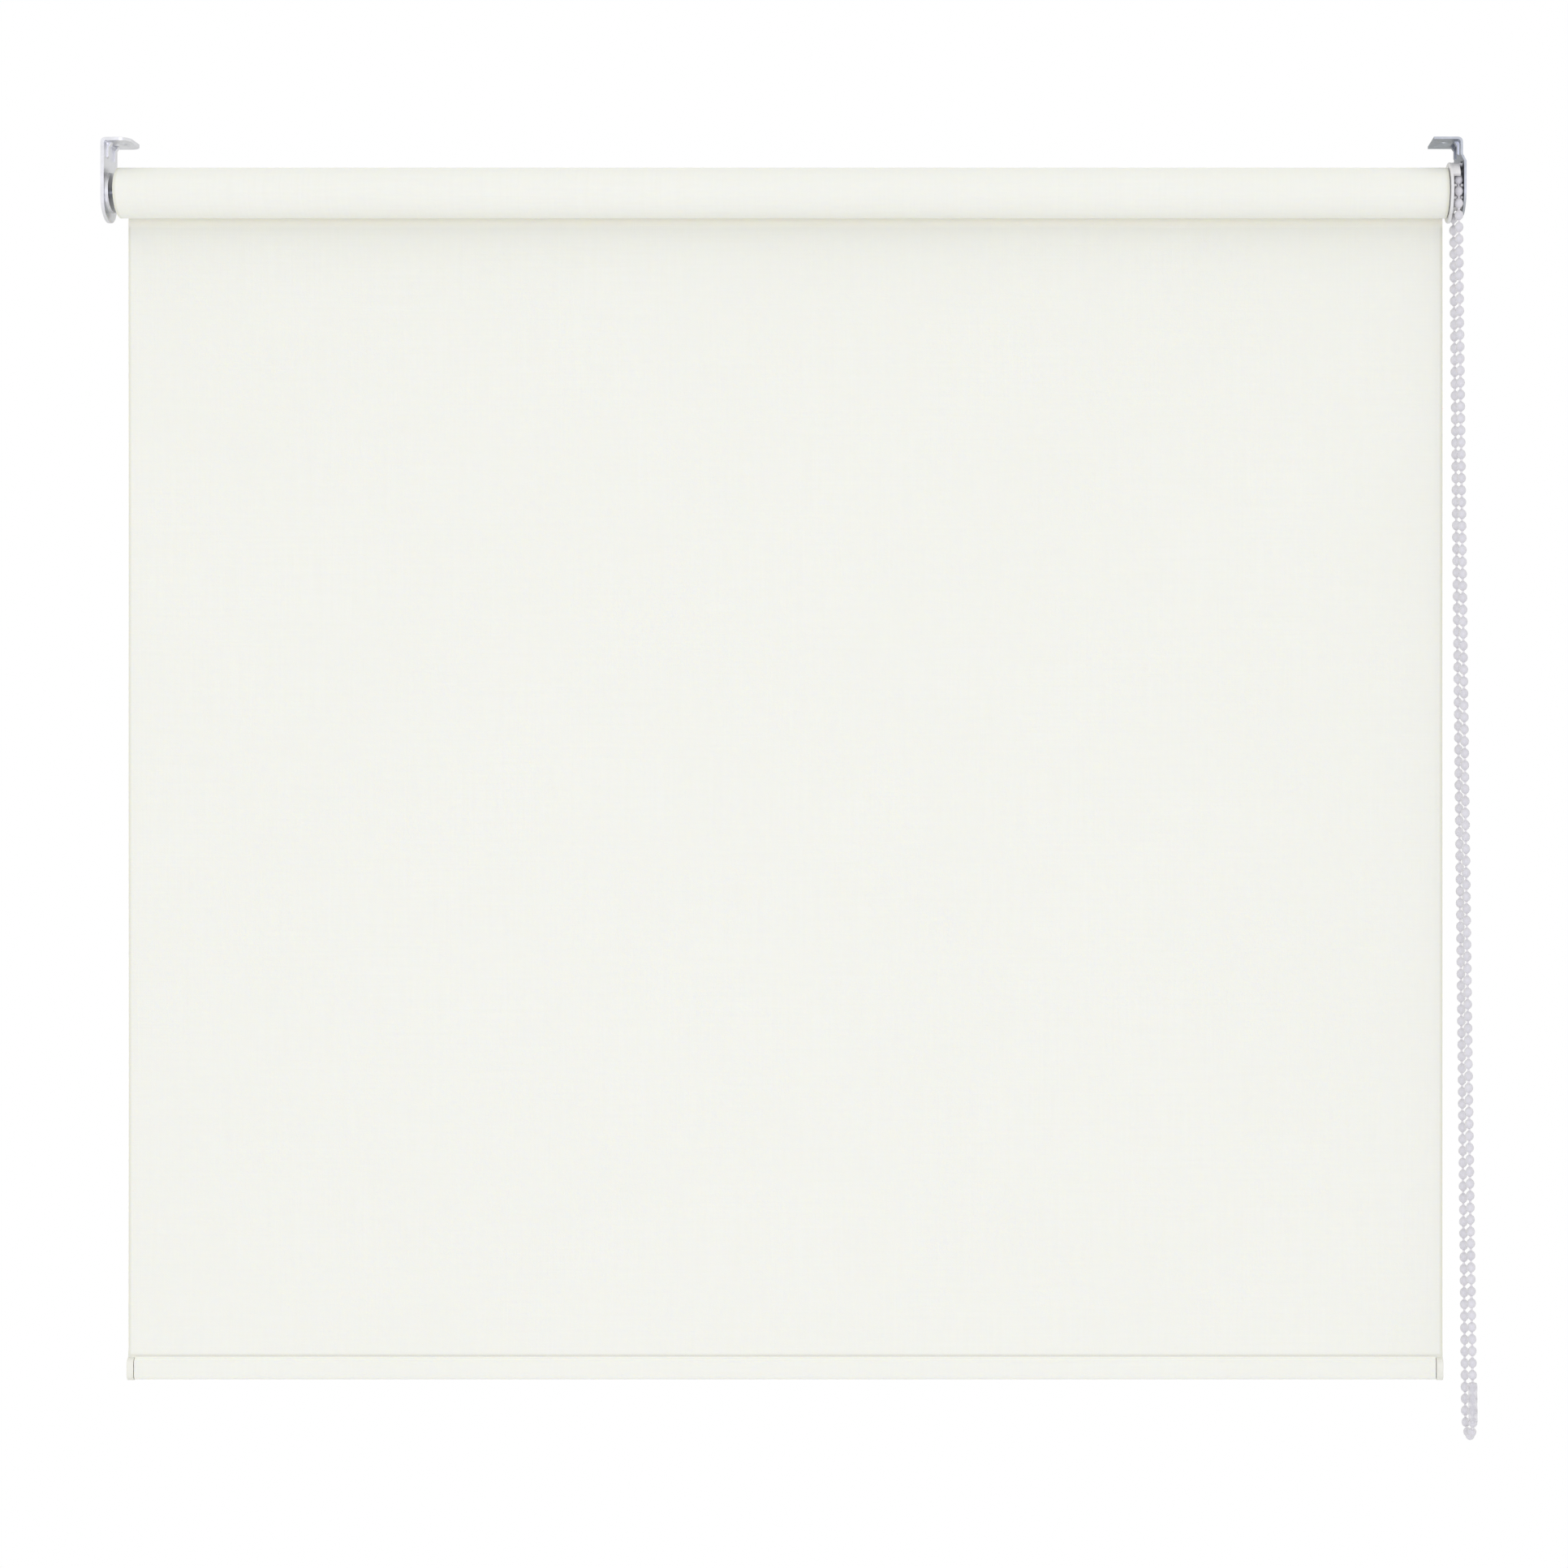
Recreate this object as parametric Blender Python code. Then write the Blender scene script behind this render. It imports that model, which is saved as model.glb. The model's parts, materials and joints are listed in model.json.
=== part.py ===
"""Chain-operated roller blind on two ceiling brackets, fully lowered.

Metres, +Z up. The origin lies in the ceiling plane, midway between the two ends of the
fabric. +X points to the chain side, +Y to the wall behind, and the roller turns about
the X direction, AXIS_DROP below the ceiling.
"""

import math

import bmesh
import bpy
from mathutils import Matrix, Vector

# Clearances and mesh fineness
GAP = 0.0003
MERGE = 0.000001
EMBED = 0.0004
ROUND_SEGMENTS = 48
SMALL_SEGMENTS = 24
SHARP_ANGLE = math.radians(30.0)

# Fabric and roller
FABRIC_WIDTH = 0.670
FABRIC_THICKNESS = 0.0004
AXIS_DROP = 0.026
TUBE_RADIUS = 0.0118
TUBE_WALL = 0.0008
TUBE_OVERHANG = 0.0002
ROLL_THICKNESS = 0.0005
KEYWAY_WIDTH = 0.003
KEYWAY_DEPTH = 0.0016
SPLINE_THICKNESS = 0.0011
HEM_TOP_DROP = 0.5899

# Bottom rail
BAR_HEIGHT = 0.0094
BAR_THICKNESS = 0.0034
BAR_WALL = 0.0007
POCKET_SEAM_HEIGHT = 0.0012
POCKET_SEAM_THICKNESS = 0.0009
CAP_LENGTH = 0.0034
CAP_MARGIN = 0.0008
CAP_TONGUE_LENGTH = 0.009

# Brackets
BEND_RADIUS = 0.0024
LEFT_DEPTH = 0.0222
LEFT_FOOT_DROP = 0.0411
LEFT_PLATE_THICKNESS = 0.00175
LEFT_PLATE_SPACE = 0.00474
LEFT_TAB_REACH = 0.0126
LEFT_TAB_CORNER = 0.0055
RIGHT_DEPTH = 0.0234
RIGHT_FOOT_DROP = 0.0377
RIGHT_PLATE_THICKNESS = 0.0012
RIGHT_TAB_REACH = 0.0133
JOGGLE = 0.0018
JOGGLE_ABOVE_GUARD = 0.00235
JOGGLE_HEIGHT = 0.0035
SCREW_HOLE_RADIUS = 0.0021
SCREW_SEAT_RADIUS = 0.0038
SCREW_SEAT_DEPTH = 0.0007
LEFT_SCREW_FROM_PLATE = 0.0061
RIGHT_SCREW_FROM_PLATE = 0.0069
RIB_REACH = 0.0026
RIB_PROUD = 0.0010
RIB_FOOT_DROP = 0.0098
RIB_WIDTH = 0.0028
RIB_SPACING = 0.0108
BOSS_RADIUS = 0.010
BOSS_HEIGHT = 0.0017

# Idle end: sprung pin in the tube plug
PIN_RADIUS = 0.0025
PIN_COLLAR_RADIUS = 0.0042
PIN_COLLAR_LENGTH = 0.0016
PIN_COLLAR_DEPTH = 0.0068
PIN_STEM_RADIUS = 0.0022
PIN_STEM_LENGTH = 0.0078
PIN_TIP_RECESS = 0.0003
PIN_TRAVEL = 0.006
IDLE_SPRING_WIRE = 0.0006
IDLE_SPRING_RADIUS = 0.0033
IDLE_SPRING_TURNS = 6
SEAT_THICKNESS = 0.0019

# Drive end: bead-chain wheel, wrap-spring clutch and guard
BEAD_RADIUS = 0.0022
BEAD_PITCH = 0.006
STRING_RADIUS = 0.0006
POCKETS = 10
FIRST_POCKET_ANGLE = math.radians(-6.0)
POCKET_CLEARANCE = 0.0003
TOOTH_ABOVE_PITCH = 0.0001
POCKET_STEPS = 8
STRING_GROOVE_WIDTH = 0.0019
GUARD_WALL = 0.0013
GUARD_HEADROOM = 0.00144
GUARD_CAP_THICKNESS = 0.0018
GUARD_CAP_LENGTH = 0.0036
GUARD_CAP_START = math.radians(28.0)
GUARD_CAP_END = math.radians(152.0)
GUARD_PEG_RADIUS = 0.001
GUARD_PEG_ANGLES = (math.radians(72.0), math.radians(108.0))
WHEEL_WIDTH = 0.0049
WHEEL_WALL = 0.0028
JOURNAL_RADIUS = 0.006
SLEEVE_WALL = 0.0009
SLEEVE_LENGTH = 0.0161
SLOT_HALF_ANGLE = math.radians(30.0)
CLUTCH_WIRE = 0.0007
CLUTCH_TURNS = 4
CLUTCH_PITCH = 0.00105
TANG_ANGLE = math.radians(20.0)
TANG_REACH = 0.0013
ADAPTOR_LENGTH = 0.020
ADAPTOR_WEB = 0.0054
FIN_WIDTH = 0.0012
TAIL_RADIUS = 0.004
TAIL_LENGTH = 0.0095
CLIP_THICKNESS = 0.0007
CLIP_RADIUS = 0.006
CLIP_GROOVE_DEPTH = 0.0008
SQUARE_SIDE = 0.008
SQUARE_PROUD = 0.0010

# Free chain: the route of its two strands, front strand first
CHAIN_RADIUS = 0.00225
ROUTE_STEPS = 3
FRONT_ROUTE = (
    (0.33990, -0.00970, -0.0355),
    (0.34040, -0.00970, -0.0900),
    (0.34125, -0.00970, -0.1700),
    (0.34215, -0.00970, -0.2500),
    (0.34308, -0.00970, -0.3300),
    (0.34404, -0.00970, -0.4100),
    (0.34503, -0.00970, -0.4900),
    (0.34594, -0.00970, -0.5600),
    (0.34683, -0.00970, -0.6267),
)
REAR_ROUTE = (
    (0.34697, -0.00970, -0.6433),
    (0.34698, -0.00940, -0.6461),
    (0.34694, -0.00795, -0.6493),
    (0.34680, -0.00440, -0.6524),
    (0.34655, 0.00000, -0.6535),
    (0.34630, 0.00440, -0.6524),
    (0.34612, 0.00795, -0.6493),
    (0.34602, 0.00955, -0.6454),
    (0.34590, 0.00970, -0.6350),
    (0.34520, 0.00970, -0.5600),
    (0.34448, 0.00970, -0.4900),
    (0.34365, 0.00970, -0.4100),
    (0.34280, 0.00970, -0.3300),
    (0.34198, 0.00970, -0.2500),
    (0.34117, 0.00970, -0.1700),
    (0.34040, 0.00970, -0.0900),
    (0.33990, 0.00970, -0.0335),
)
CONNECTOR_RADIUS = 0.0021
CONNECTOR_WAIST = 0.0016
CONNECTOR_GAP = 0.0005

# Values worked out from the sizes above
FABRIC_END = FABRIC_WIDTH / 2
TUBE_END = FABRIC_END + TUBE_OVERHANG
TUBE_BORE = TUBE_RADIUS - TUBE_WALL
ROLL_INNER = TUBE_RADIUS + GAP
ROLL_RADIUS = ROLL_INNER + ROLL_THICKNESS
SHEET_Y = ROLL_RADIUS + GAP + FABRIC_THICKNESS / 2
POCKET_TOP = -AXIS_DROP - HEM_TOP_DROP
PLUG_RADIUS = TUBE_BORE - GAP
KEYWAY_FLOOR = TUBE_RADIUS - KEYWAY_DEPTH
PITCH_RADIUS = BEAD_PITCH / (2 * math.sin(math.pi / POCKETS))
POCKET_RADIUS = BEAD_RADIUS + POCKET_CLEARANCE
GUARD_RADIUS = PITCH_RADIUS + BEAD_RADIUS + GUARD_HEADROOM + GUARD_CAP_THICKNESS
LEFT_PLATE_X = -FABRIC_END - LEFT_PLATE_SPACE
LEFT_OUTER_X = LEFT_PLATE_X - LEFT_PLATE_THICKNESS
GUARD_X = TUBE_END + GAP
WHEEL_X = GUARD_X + GUARD_WALL + GAP
WHEEL_END_X = WHEEL_X + WHEEL_WIDTH
BEAD_PLANE_X = WHEEL_X + WHEEL_WALL
RIGHT_PLATE_X = WHEEL_END_X + GAP
RIGHT_OUTER_X = RIGHT_PLATE_X + RIGHT_PLATE_THICKNESS
RIGHT_NECK_X = RIGHT_PLATE_X - JOGGLE
SLEEVE_BORE = JOURNAL_RADIUS + GAP
SLEEVE_RADIUS = SLEEVE_BORE + SLEEVE_WALL
DRUM_RADIUS = SLEEVE_BORE - CLUTCH_WIRE - 2 * GAP
SLEEVE_END_X = WHEEL_X - SLEEVE_LENGTH
ADAPTOR_X = TUBE_END - TUBE_OVERHANG
ADAPTOR_END_X = ADAPTOR_X - ADAPTOR_LENGTH
ADAPTOR_BORE = SLEEVE_RADIUS + GAP
WEB_X = ADAPTOR_END_X + ADAPTOR_WEB
TAIL_END_X = SLEEVE_END_X - TAIL_LENGTH
PLUG_X = -TUBE_END + TUBE_OVERHANG
CHAMBER_RADIUS = PIN_COLLAR_RADIUS + GAP
COLLAR_X = PLUG_X + PIN_COLLAR_DEPTH
STEM_X = COLLAR_X + PIN_COLLAR_LENGTH
SEAT_X = STEM_X + PIN_STEM_LENGTH + PIN_TRAVEL + GAP
PLUG_END_X = SEAT_X + SEAT_THICKNESS + GAP
SCREW_LEFT_X = LEFT_PLATE_X + LEFT_SCREW_FROM_PLATE
SCREW_RIGHT_X = RIGHT_NECK_X - RIGHT_SCREW_FROM_PLATE
JOGGLE_TOP_DROP = AXIS_DROP - GUARD_RADIUS - JOGGLE_ABOVE_GUARD
POCKET_END = FABRIC_END - CAP_LENGTH - GAP

METALS = {
    "zinc_steel": ((0.62, 0.64, 0.67), 0.32, 1.0),
    "aluminium": ((0.72, 0.73, 0.74), 0.38, 1.0),
    "spring_steel": ((0.45, 0.46, 0.48), 0.30, 1.0),
}
PLASTICS = {
    "blind_fabric": ((0.90, 0.89, 0.83), 0.85, 0.0),
    "white_plastic": ((0.90, 0.89, 0.86), 0.42, 0.0),
    "grey_plastic": ((0.55, 0.55, 0.56), 0.45, 0.0),
    "chain_bead": ((0.80, 0.79, 0.82), 0.35, 0.0),
    "clear_plastic": ((0.86, 0.87, 0.88), 0.20, 0.0),
}


def clear_scene():
    for thing in list(bpy.data.objects):
        bpy.data.objects.remove(thing, do_unlink=True)


def make_materials():
    made = {}
    for name, (colour, roughness, metallic) in {**METALS, **PLASTICS}.items():
        material = bpy.data.materials.new(name)
        material.use_nodes = True
        shader = material.node_tree.nodes["Principled BSDF"]
        shader.inputs["Base Color"].default_value = (*colour, 1.0)
        shader.inputs["Roughness"].default_value = roughness
        shader.inputs["Metallic"].default_value = metallic
        made[name] = material
    return made


def add_object(name, data, material, parent=None):
    """Link a mesh or curve, seen in its parent's own axes."""
    thing = bpy.data.objects.new(name, data)
    bpy.context.collection.objects.link(thing)
    thing.parent = parent
    if material:
        data.materials.append(material)
    return thing


def finish_mesh(name, bm, material, parent=None):
    """Close a bmesh into a named object with its faces pointing out."""
    bmesh.ops.remove_doubles(bm, verts=bm.verts, dist=MERGE)
    bmesh.ops.recalc_face_normals(bm, faces=bm.faces)
    data = bpy.data.meshes.new(name)
    bm.to_mesh(data)
    bm.free()
    data.shade_smooth()
    data.set_sharp_from_angle(angle=SHARP_ANGLE)
    return add_object(name, data, material, parent)


def arc(centre, radius, start, end, steps):
    """Points on a round stretch, both ends included."""
    turn = (end - start) / steps
    return [
        (centre[0] + radius * math.cos(start + turn * i), centre[1] + radius * math.sin(start + turn * i))
        for i in range(steps + 1)
    ]


def circle(radius, segments=SMALL_SEGMENTS):
    return arc((0.0, 0.0), radius, 0.0, 2 * math.pi, segments)[:-1]


def capsule(half_length, half_width, steps=6):
    """A flat oval in (across, along), its long side running along the second value."""
    straight = half_length - half_width
    top = arc((0.0, straight), half_width, 0.0, math.pi, steps)
    bottom = arc((0.0, -straight), half_width, math.pi, 2 * math.pi, steps)
    return top + bottom


def keyed_circle(radius, half_width, floor, segments=ROUND_SEGMENTS):
    """A circle in (y, z) with a flat-bottomed notch at its top."""
    edge = math.asin(half_width / radius)
    top = math.pi / 2
    round_part = arc((0.0, 0.0), radius, top + edge, top - edge + 2 * math.pi, segments)
    return round_part + [(half_width, floor), (-half_width, floor)]


def prism(outline, low, high, direction="X"):
    """A bmesh of an outline pushed along one axis; the outline lies in the other two."""
    place = {
        "X": lambda a, b, c: (c, a, b),
        "Y": lambda a, b, c: (a, c, b),
        "Z": lambda a, b, c: (a, b, c),
    }[direction]
    bm = bmesh.new()
    face = bm.faces.new([bm.verts.new(place(a, b, low)) for a, b in outline])
    grown = bmesh.ops.extrude_face_region(bm, geom=[face])
    moved = [item for item in grown["geom"] if isinstance(item, bmesh.types.BMVert)]
    bmesh.ops.translate(bm, verts=moved, vec=place(0.0, 0.0, high - low))
    return bm


def sleeve(outer, inner, low, high):
    """A bmesh between two outlines of equal point count, pushed along X."""
    bm = bmesh.new()
    rings = []
    for outline, x in ((outer, low), (outer, high), (inner, high), (inner, low)):
        rings.append([bm.verts.new((x, y, z)) for y, z in outline])
    count = len(outer)
    for first, second in zip(rings, rings[1:] + rings[:1]):
        for i in range(count):
            j = (i + 1) % count
            bm.faces.new((first[i], first[j], second[j], second[i]))
    return bm


def turned(profile, segments=ROUND_SEGMENTS, closed=False, axis="X", centre=(0.0, 0.0, 0.0)):
    """A bmesh of an (along, radius) outline spun about a line through the centre."""
    spin_axis = {"X": Vector((1, 0, 0)), "Z": Vector((0, 0, 1))}[axis]
    out = {"X": Vector((0, 0, 1)), "Z": Vector((1, 0, 0))}[axis]
    middle = Vector(centre)
    bm = bmesh.new()
    points = [bm.verts.new(middle + spin_axis * along + out * radius) for along, radius in profile]
    pairs = list(zip(points, points[1:]))
    if closed:
        pairs.append((points[-1], points[0]))
    edges = [bm.edges.new(pair) for pair in pairs]
    full_turn = 2 * math.pi
    bmesh.ops.spin(
        bm, geom=points + edges, cent=middle, axis=spin_axis, angle=full_turn, steps=segments, use_merge=True
    )
    bmesh.ops.remove_doubles(bm, verts=bm.verts, dist=MERGE)
    return bm


def rod(low, high, radius, segments=SMALL_SEGMENTS, centre=(0.0, 0.0, 0.0), axis="X"):
    """A bmesh cylinder, its ends given along the axis from the centre."""
    return turned([(low, 0.0), (low, radius), (high, radius), (high, 0.0)], segments, False, axis, centre)


def combine(target, bm, operation, parent=None):
    """Join, cut or keep a tool's shape on an object, by an exact Boolean."""
    tool = finish_mesh(f"{target.name}_{operation.lower()}_tool", bm, None, parent)
    tool.hide_render = True
    tool.display_type = "WIRE"
    step = target.modifiers.new(operation.title(), "BOOLEAN")
    step.operation = operation
    step.object = tool
    step.solver = "EXACT"


def axis_empty(name, x=0.0, y=0.0, z=-AXIS_DROP):
    """A plain empty that moving pieces hang from, placed on their joint's axis."""
    empty = bpy.data.objects.new(name, None)
    bpy.context.collection.objects.link(empty)
    empty.location = (x, y, z)
    return empty


# Brackets ------------------------------------------------------------------------------


def bent_strip(outer_x, tip_x, thickness, inward, foot_drop, joggle=0.0):
    """The side view of a bracket: top tab, bend, and plate with an optional joggle."""
    top_x = outer_x + inward * joggle
    start = math.pi / 2
    end = start + inward * math.pi / 2
    corner = (top_x + inward * BEND_RADIUS, -BEND_RADIUS)
    outside = arc(corner, BEND_RADIUS, start, end, 5)
    inside = arc(corner, BEND_RADIUS - thickness, end, start, 4)
    foot = -foot_drop - EMBED
    down = [(top_x, -JOGGLE_TOP_DROP), (outer_x, -JOGGLE_TOP_DROP - JOGGLE_HEIGHT)] if joggle else []
    up = [(x + inward * thickness, z) for x, z in reversed(down)]
    return (
        [(tip_x, 0.0)]
        + outside
        + down
        + [(outer_x, foot), (outer_x + inward * thickness, foot)]
        + up
        + inside
        + [(tip_x, -thickness)]
    )


def front_outline(depth, foot_drop):
    """The bracket seen along X: straight sides over a half-round foot."""
    half = depth / 2
    foot = arc((0.0, half - foot_drop), half, math.pi, 2 * math.pi, 20)
    return [(half, EMBED), (-half, EMBED)] + foot


def make_bracket(name, materials, outer_x, tip_x, thickness, inward, depth, foot_drop, joggle, screw_x):
    """One bent and pierced bracket; the caller adds its roller seat."""
    strip = prism(bent_strip(outer_x, tip_x, thickness, inward, foot_drop, joggle), -depth, depth, "Y")
    bracket = finish_mesh(name, strip, materials["zinc_steel"])
    span = sorted((outer_x - inward * EMBED, tip_x + inward * EMBED))
    combine(bracket, prism(front_outline(depth, foot_drop), span[0], span[1]), "INTERSECT")
    neck_x = outer_x + inward * (joggle + thickness)
    rib_foot = -min(RIB_FOOT_DROP, JOGGLE_TOP_DROP) if joggle else -RIB_FOOT_DROP
    for side in (-0.5, 0.5):
        y = side * RIB_SPACING
        rib = [
            (neck_x - inward * EMBED, -thickness + EMBED),
            (neck_x + inward * RIB_REACH, -thickness + EMBED),
            (neck_x + inward * RIB_REACH, -thickness - EMBED),
            (neck_x + inward * RIB_PROUD, -thickness - RIB_REACH),
            (neck_x + inward * RIB_PROUD, rib_foot + RIB_PROUD),
            (neck_x, rib_foot),
            (neck_x - inward * EMBED, rib_foot),
        ]
        combine(bracket, prism(rib, y - RIB_WIDTH / 2, y + RIB_WIDTH / 2, "Y"), "UNION")
    seat = [
        (-thickness - EMBED, 0.0),
        (-thickness - EMBED, SCREW_SEAT_RADIUS),
        (-thickness, SCREW_SEAT_RADIUS),
        (-thickness + SCREW_SEAT_DEPTH, SCREW_HOLE_RADIUS),
        (EMBED, SCREW_HOLE_RADIUS),
        (EMBED, 0.0),
    ]
    combine(bracket, turned(seat, SMALL_SEGMENTS, False, "Z", (screw_x, 0.0, 0.0)), "DIFFERENCE")
    return bracket


def make_left_bracket(materials):
    tip_x = LEFT_PLATE_X + LEFT_TAB_REACH
    bracket = make_bracket(
        "bracket_left",
        materials,
        LEFT_OUTER_X,
        tip_x,
        LEFT_PLATE_THICKNESS,
        1.0,
        LEFT_DEPTH,
        LEFT_FOOT_DROP,
        0.0,
        SCREW_LEFT_X,
    )
    half = LEFT_DEPTH / 2 + EMBED
    round_x = tip_x - LEFT_TAB_CORNER
    round_y = LEFT_DEPTH / 2 - LEFT_TAB_CORNER
    plan = [(LEFT_OUTER_X - EMBED, half), (LEFT_OUTER_X - EMBED, -half), (round_x, -half)]
    plan += arc((round_x, -round_y), LEFT_TAB_CORNER, -math.pi / 2, 0.0, 8)
    plan += arc((round_x, round_y), LEFT_TAB_CORNER, 0.0, math.pi / 2, 8)
    plan.append((round_x, half))
    combine(bracket, prism(plan, -LEFT_FOOT_DROP - 2 * EMBED, EMBED, "Z"), "INTERSECT")
    axis = (0.0, 0.0, -AXIS_DROP)
    boss = rod(LEFT_PLATE_X - EMBED, LEFT_PLATE_X + BOSS_HEIGHT, BOSS_RADIUS, SMALL_SEGMENTS, axis)
    combine(bracket, boss, "UNION")
    recess_end = LEFT_OUTER_X + BOSS_HEIGHT
    recess_radius = BOSS_RADIUS - LEFT_PLATE_THICKNESS
    combine(
        bracket, rod(LEFT_OUTER_X - EMBED, recess_end, recess_radius, SMALL_SEGMENTS, axis), "DIFFERENCE"
    )
    hole = rod(LEFT_OUTER_X, LEFT_PLATE_X + 2 * BOSS_HEIGHT, PIN_RADIUS + GAP, SMALL_SEGMENTS, axis)
    combine(bracket, hole, "DIFFERENCE")


def make_right_bracket(materials):
    bracket = make_bracket(
        "bracket_right",
        materials,
        RIGHT_OUTER_X,
        RIGHT_NECK_X - RIGHT_TAB_REACH,
        RIGHT_PLATE_THICKNESS,
        -1.0,
        RIGHT_DEPTH,
        RIGHT_FOOT_DROP,
        JOGGLE,
        SCREW_RIGHT_X,
    )
    low, high = RIGHT_PLATE_X - EMBED, RIGHT_OUTER_X + EMBED
    half = SQUARE_SIDE / 2 + GAP
    square = [(-half, -half), (half, -half), (half, half), (-half, half)]
    square = [(y, z - AXIS_DROP) for y, z in square]
    combine(bracket, prism(square, low, high), "DIFFERENCE")
    for angle in GUARD_PEG_ANGLES:
        y, z = guard_peg_place(angle)
        hole = rod(low, high, GUARD_PEG_RADIUS + GAP, 12, (0.0, y, z - AXIS_DROP))
        combine(bracket, hole, "DIFFERENCE")


# Roller and fabric -----------------------------------------------------------------------


def make_roller(materials, roller):
    outer = keyed_circle(TUBE_RADIUS, KEYWAY_WIDTH / 2, KEYWAY_FLOOR)
    inner = keyed_circle(TUBE_BORE, KEYWAY_WIDTH / 2 + TUBE_WALL, KEYWAY_FLOOR - TUBE_WALL)
    finish_mesh("roller_tube", sleeve(outer, inner, -TUBE_END, TUBE_END), materials["aluminium"], roller)
    half = KEYWAY_WIDTH / 2 - GAP
    low = KEYWAY_FLOOR + GAP
    high = low + SPLINE_THICKNESS
    outline = [(-half, low), (half, low), (half, high), (-half, high)]
    spline = prism(outline, -FABRIC_END, FABRIC_END)
    finish_mesh("fabric_spline", spline, materials["white_plastic"], roller)
    roll = sleeve(
        circle(ROLL_RADIUS, ROUND_SEGMENTS), circle(ROLL_INNER, ROUND_SEGMENTS), -FABRIC_END, FABRIC_END
    )
    finish_mesh("fabric_roll", roll, materials["blind_fabric"], roller)


def keyed_plug(low, high):
    """A bmesh plug that fills the tube's bore and straddles its keyway."""
    half_width = KEYWAY_WIDTH / 2 + TUBE_WALL + GAP
    floor = KEYWAY_FLOOR - TUBE_WALL - GAP
    return prism(keyed_circle(PLUG_RADIUS, half_width, floor), low, high)


def make_sheet(materials):
    """The hanging fabric, from the back of the roll down to the hem."""
    bottom = POCKET_TOP + GAP
    half = FABRIC_THICKNESS / 2
    outline = [
        (SHEET_Y - half, bottom),
        (SHEET_Y + half, bottom),
        (SHEET_Y + half, -AXIS_DROP),
        (SHEET_Y - half, -AXIS_DROP),
    ]
    sheet = prism(outline, -FABRIC_END, FABRIC_END)
    finish_mesh("fabric_sheet", sheet, materials["blind_fabric"])


def make_bottom_rail(materials):
    """The hem pocket with its weighting bar and the two end caps."""
    half_height = BAR_HEIGHT / 2
    half_thick = BAR_THICKNESS / 2
    pocket_half_height = half_height + GAP + FABRIC_THICKNESS
    rail = axis_empty("rail_slide", 0.0, SHEET_Y, POCKET_TOP - POCKET_SEAM_HEIGHT - pocket_half_height)
    inner = capsule(half_height + GAP, half_thick + GAP)
    outer = capsule(pocket_half_height, half_thick + GAP + FABRIC_THICKNESS)
    pocket = sleeve(outer, inner, -POCKET_END, POCKET_END)
    hem = finish_mesh("hem_pocket", pocket, materials["blind_fabric"], rail)
    half_seam = POCKET_SEAM_THICKNESS / 2
    seam_top = pocket_half_height + POCKET_SEAM_HEIGHT
    seam_low = pocket_half_height - FABRIC_THICKNESS / 2
    seam = [(-half_seam, seam_low), (half_seam, seam_low), (half_seam, seam_top), (-half_seam, seam_top)]
    combine(hem, prism(seam, -POCKET_END, POCKET_END), "UNION", rail)

    bar_end = POCKET_END - GAP
    bore = capsule(half_height - BAR_WALL, half_thick - BAR_WALL)
    bar = sleeve(capsule(half_height, half_thick), bore, -bar_end, bar_end)
    finish_mesh("bottom_bar", bar, materials["aluminium"], rail)

    cap_outline = capsule(pocket_half_height + CAP_MARGIN / 2, half_thick + FABRIC_THICKNESS + CAP_MARGIN)
    tongue_outline = capsule(half_height - BAR_WALL - GAP, half_thick - BAR_WALL - GAP)
    for name, side in (("bar_end_cap_left", -1.0), ("bar_end_cap_right", 1.0)):
        face = side * (POCKET_END + GAP)
        low, high = sorted((face, face + side * CAP_LENGTH))
        cap = finish_mesh(name, prism(cap_outline, low, high), materials["white_plastic"], rail)
        low, high = sorted((face + side * EMBED, face - side * CAP_TONGUE_LENGTH))
        combine(cap, prism(tongue_outline, low, high), "UNION", rail)


# Springs -----------------------------------------------------------------------------------


def make_spring(name, points, wire, material, parent):
    """A wire bent through the points, with closed ends."""
    curve = bpy.data.curves.new(name, "CURVE")
    curve.dimensions = "3D"
    curve.bevel_depth = wire / 2
    curve.bevel_resolution = 1
    curve.use_fill_caps = True
    spline = curve.splines.new("POLY")
    spline.points.add(len(points) - 1)
    for spot, place in zip(spline.points, points):
        spot.co = (*place, 1.0)
    return add_object(name, curve, material, parent)


def coil(start_x, pitch, radius, turns, start_angle, steps=18):
    """Points on a helix about X; angles run from +Z towards +Y."""
    count = round(turns * steps)
    return [
        (
            start_x + pitch * i / steps,
            radius * math.sin(start_angle + 2 * math.pi * i / steps),
            radius * math.cos(start_angle + 2 * math.pi * i / steps),
        )
        for i in range(count + 1)
    ]


# Idle end ------------------------------------------------------------------------------------


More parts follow.
